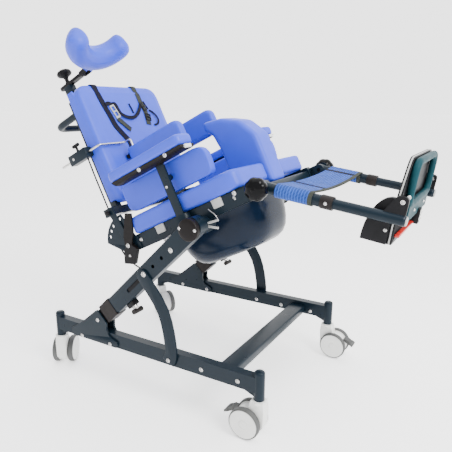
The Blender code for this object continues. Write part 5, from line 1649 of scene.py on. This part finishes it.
class CommodeFoot(bpy.types.Operator):
    """Build the footplate, its loop, guards and red bar"""

    bl_idname = "commode.foot"
    bl_label = "Foot Support"

    def execute(self, context):
        size = sizes()
        back = LEG.inverted()
        away = LEG.to_3x3() @ Vector((1.0, 0.0, 0.0))
        plate = cleaned("footplate", bevel=(0.004, 0.0012))
        for u in (PLATE_U + 0.0042, PLATE_U + 0.0078):
            geometry = plate.verts[:] + plate.edges[:] + plate.faces[:]
            cut = LEG @ Vector((u, 0.0, 0.0))
            bmesh.ops.bisect_plane(plate, geom=geometry, plane_co=cut, plane_no=away)
        # The pale band on the plate's edge faces, in the plug colour, is a painted highlight along that edge.
        for face in plate.faces:
            u = (back @ face.calc_center_median()).x - PLATE_U
            face.material_index = 1 if 0.004 < u < 0.008 and abs(face.normal.dot(away)) < 0.3 else 0
        made("footplate_shell", plate, ("black", "cap"), "footplate")

        def loop_zone(point, normal):
            spot = back @ point
            if abs(spot.y) > LOOP_HALF + 0.011:
                return 1
            return 2 if 0.0135 < spot.y < 0.0405 and spot.z < 0.0 and spot.x > FOOT_U + 0.0005 else 0

        start = (LOOP_HALF, 0.08)
        bends = ((LOOP_HALF, 0.135), (-LOOP_HALF, 0.135), (-LOOP_HALF, 0.02), (LOOP_HALF, 0.02))
        ring = rounded_corners([(0.0, y, v) for y, v in (start, *bends, start)], 0.036, 7)
        hoop = swept(stations_along(ring[:-1]), (0.0102, 0.0102, 24), True)
        hoop.transform(LEG @ Matrix.Translation((FOOT_U, 0.0, 0.0)))
        band_bolts = [LEG @ Vector((FOOT_U, y, -0.004)) for y in (-0.060, 0.090)]
        bracket_bolts = [LEG @ Vector((FOOT_U, 0.027, v)) for v in (-0.024, -0.043)]
        extras = [
            tagged(hoop, 0),
            bolts(["foot_loop"], band_bolts, away, size.screw_radius, 1),
            bolts(["foot_loop"], bracket_bolts, away, size.bolt_radius, 3),
        ]
        looks = ("teal", "steel", "black", "nylon")
        dressed("foot_loop", looks, bevel=(0.02, 0.0012), zone=loop_zone, extras=extras)
        bar = brick((0.013, 0.197, 0.0065), LEG @ Matrix.Translation((0.3712, -0.0905, -0.0545)), 0.002, 3)
        made("release_bar_strip", bar, ("red",), "release_bar")
        for side, sign in SIDES:
            node = f"heel_guard_{side}"
            out = (0.0, sign, 0.0)
            spot = LEG @ Vector((0.343, sign * 0.198, -0.040))
            extras = [bolts([node], [spot], out, size.screw_radius, 1)]
            dressed(node, ("black", "steel"), bevel=(0.004, 0.0016), extras=extras)
        return {"FINISHED"}


OPERATORS = (
    CommodeStageOperator,
    CommodeCables,
    CommodeBase,
    CommodeCastors,
    CommodeColumns,
    CommodeSeat,
    CommodeFoam,
    CommodeBack,
    CommodeHarness,
    CommodeLegs,
    CommodeFoot,
)


class CommodePanel(bpy.types.Panel):
    """Sidebar list of the chair's pieces, sizes and colours"""

    bl_idname = "VIEW3D_PT_commode_chair"
    bl_label = "Commode Chair"
    bl_space_type = "VIEW_3D"
    bl_region_type = "UI"
    bl_category = "Commode Chair"

    def draw(self, context):
        scene = context.scene
        for group in (scene.commode_sizes, scene.commode_colours, scene.commode_stage):
            box = self.layout.box()
            for key in group.__annotations__:
                box.prop(group, key)
        for operator in OPERATORS:
            self.layout.operator(operator.bl_idname)


CLASSES = (CommodeSizes, CommodeColours, CommodeStage, *OPERATORS, CommodePanel)


def register():
    for kind in CLASSES:
        bpy.utils.register_class(kind)
    bpy.types.Scene.commode_sizes = bpy.props.PointerProperty(type=CommodeSizes)
    bpy.types.Scene.commode_colours = bpy.props.PointerProperty(type=CommodeColours)
    bpy.types.Scene.commode_stage = bpy.props.PointerProperty(type=CommodeStage)


def unregister():
    del bpy.types.Scene.commode_stage
    del bpy.types.Scene.commode_colours
    del bpy.types.Scene.commode_sizes
    for kind in reversed(CLASSES):
        bpy.utils.unregister_class(kind)


def main():
    register()
    make_looks()
    for operator in OPERATORS:
        group, name = operator.bl_idname.split(".")
        getattr(getattr(bpy.ops, group), name)()


if __name__ == "__main__":
    main()
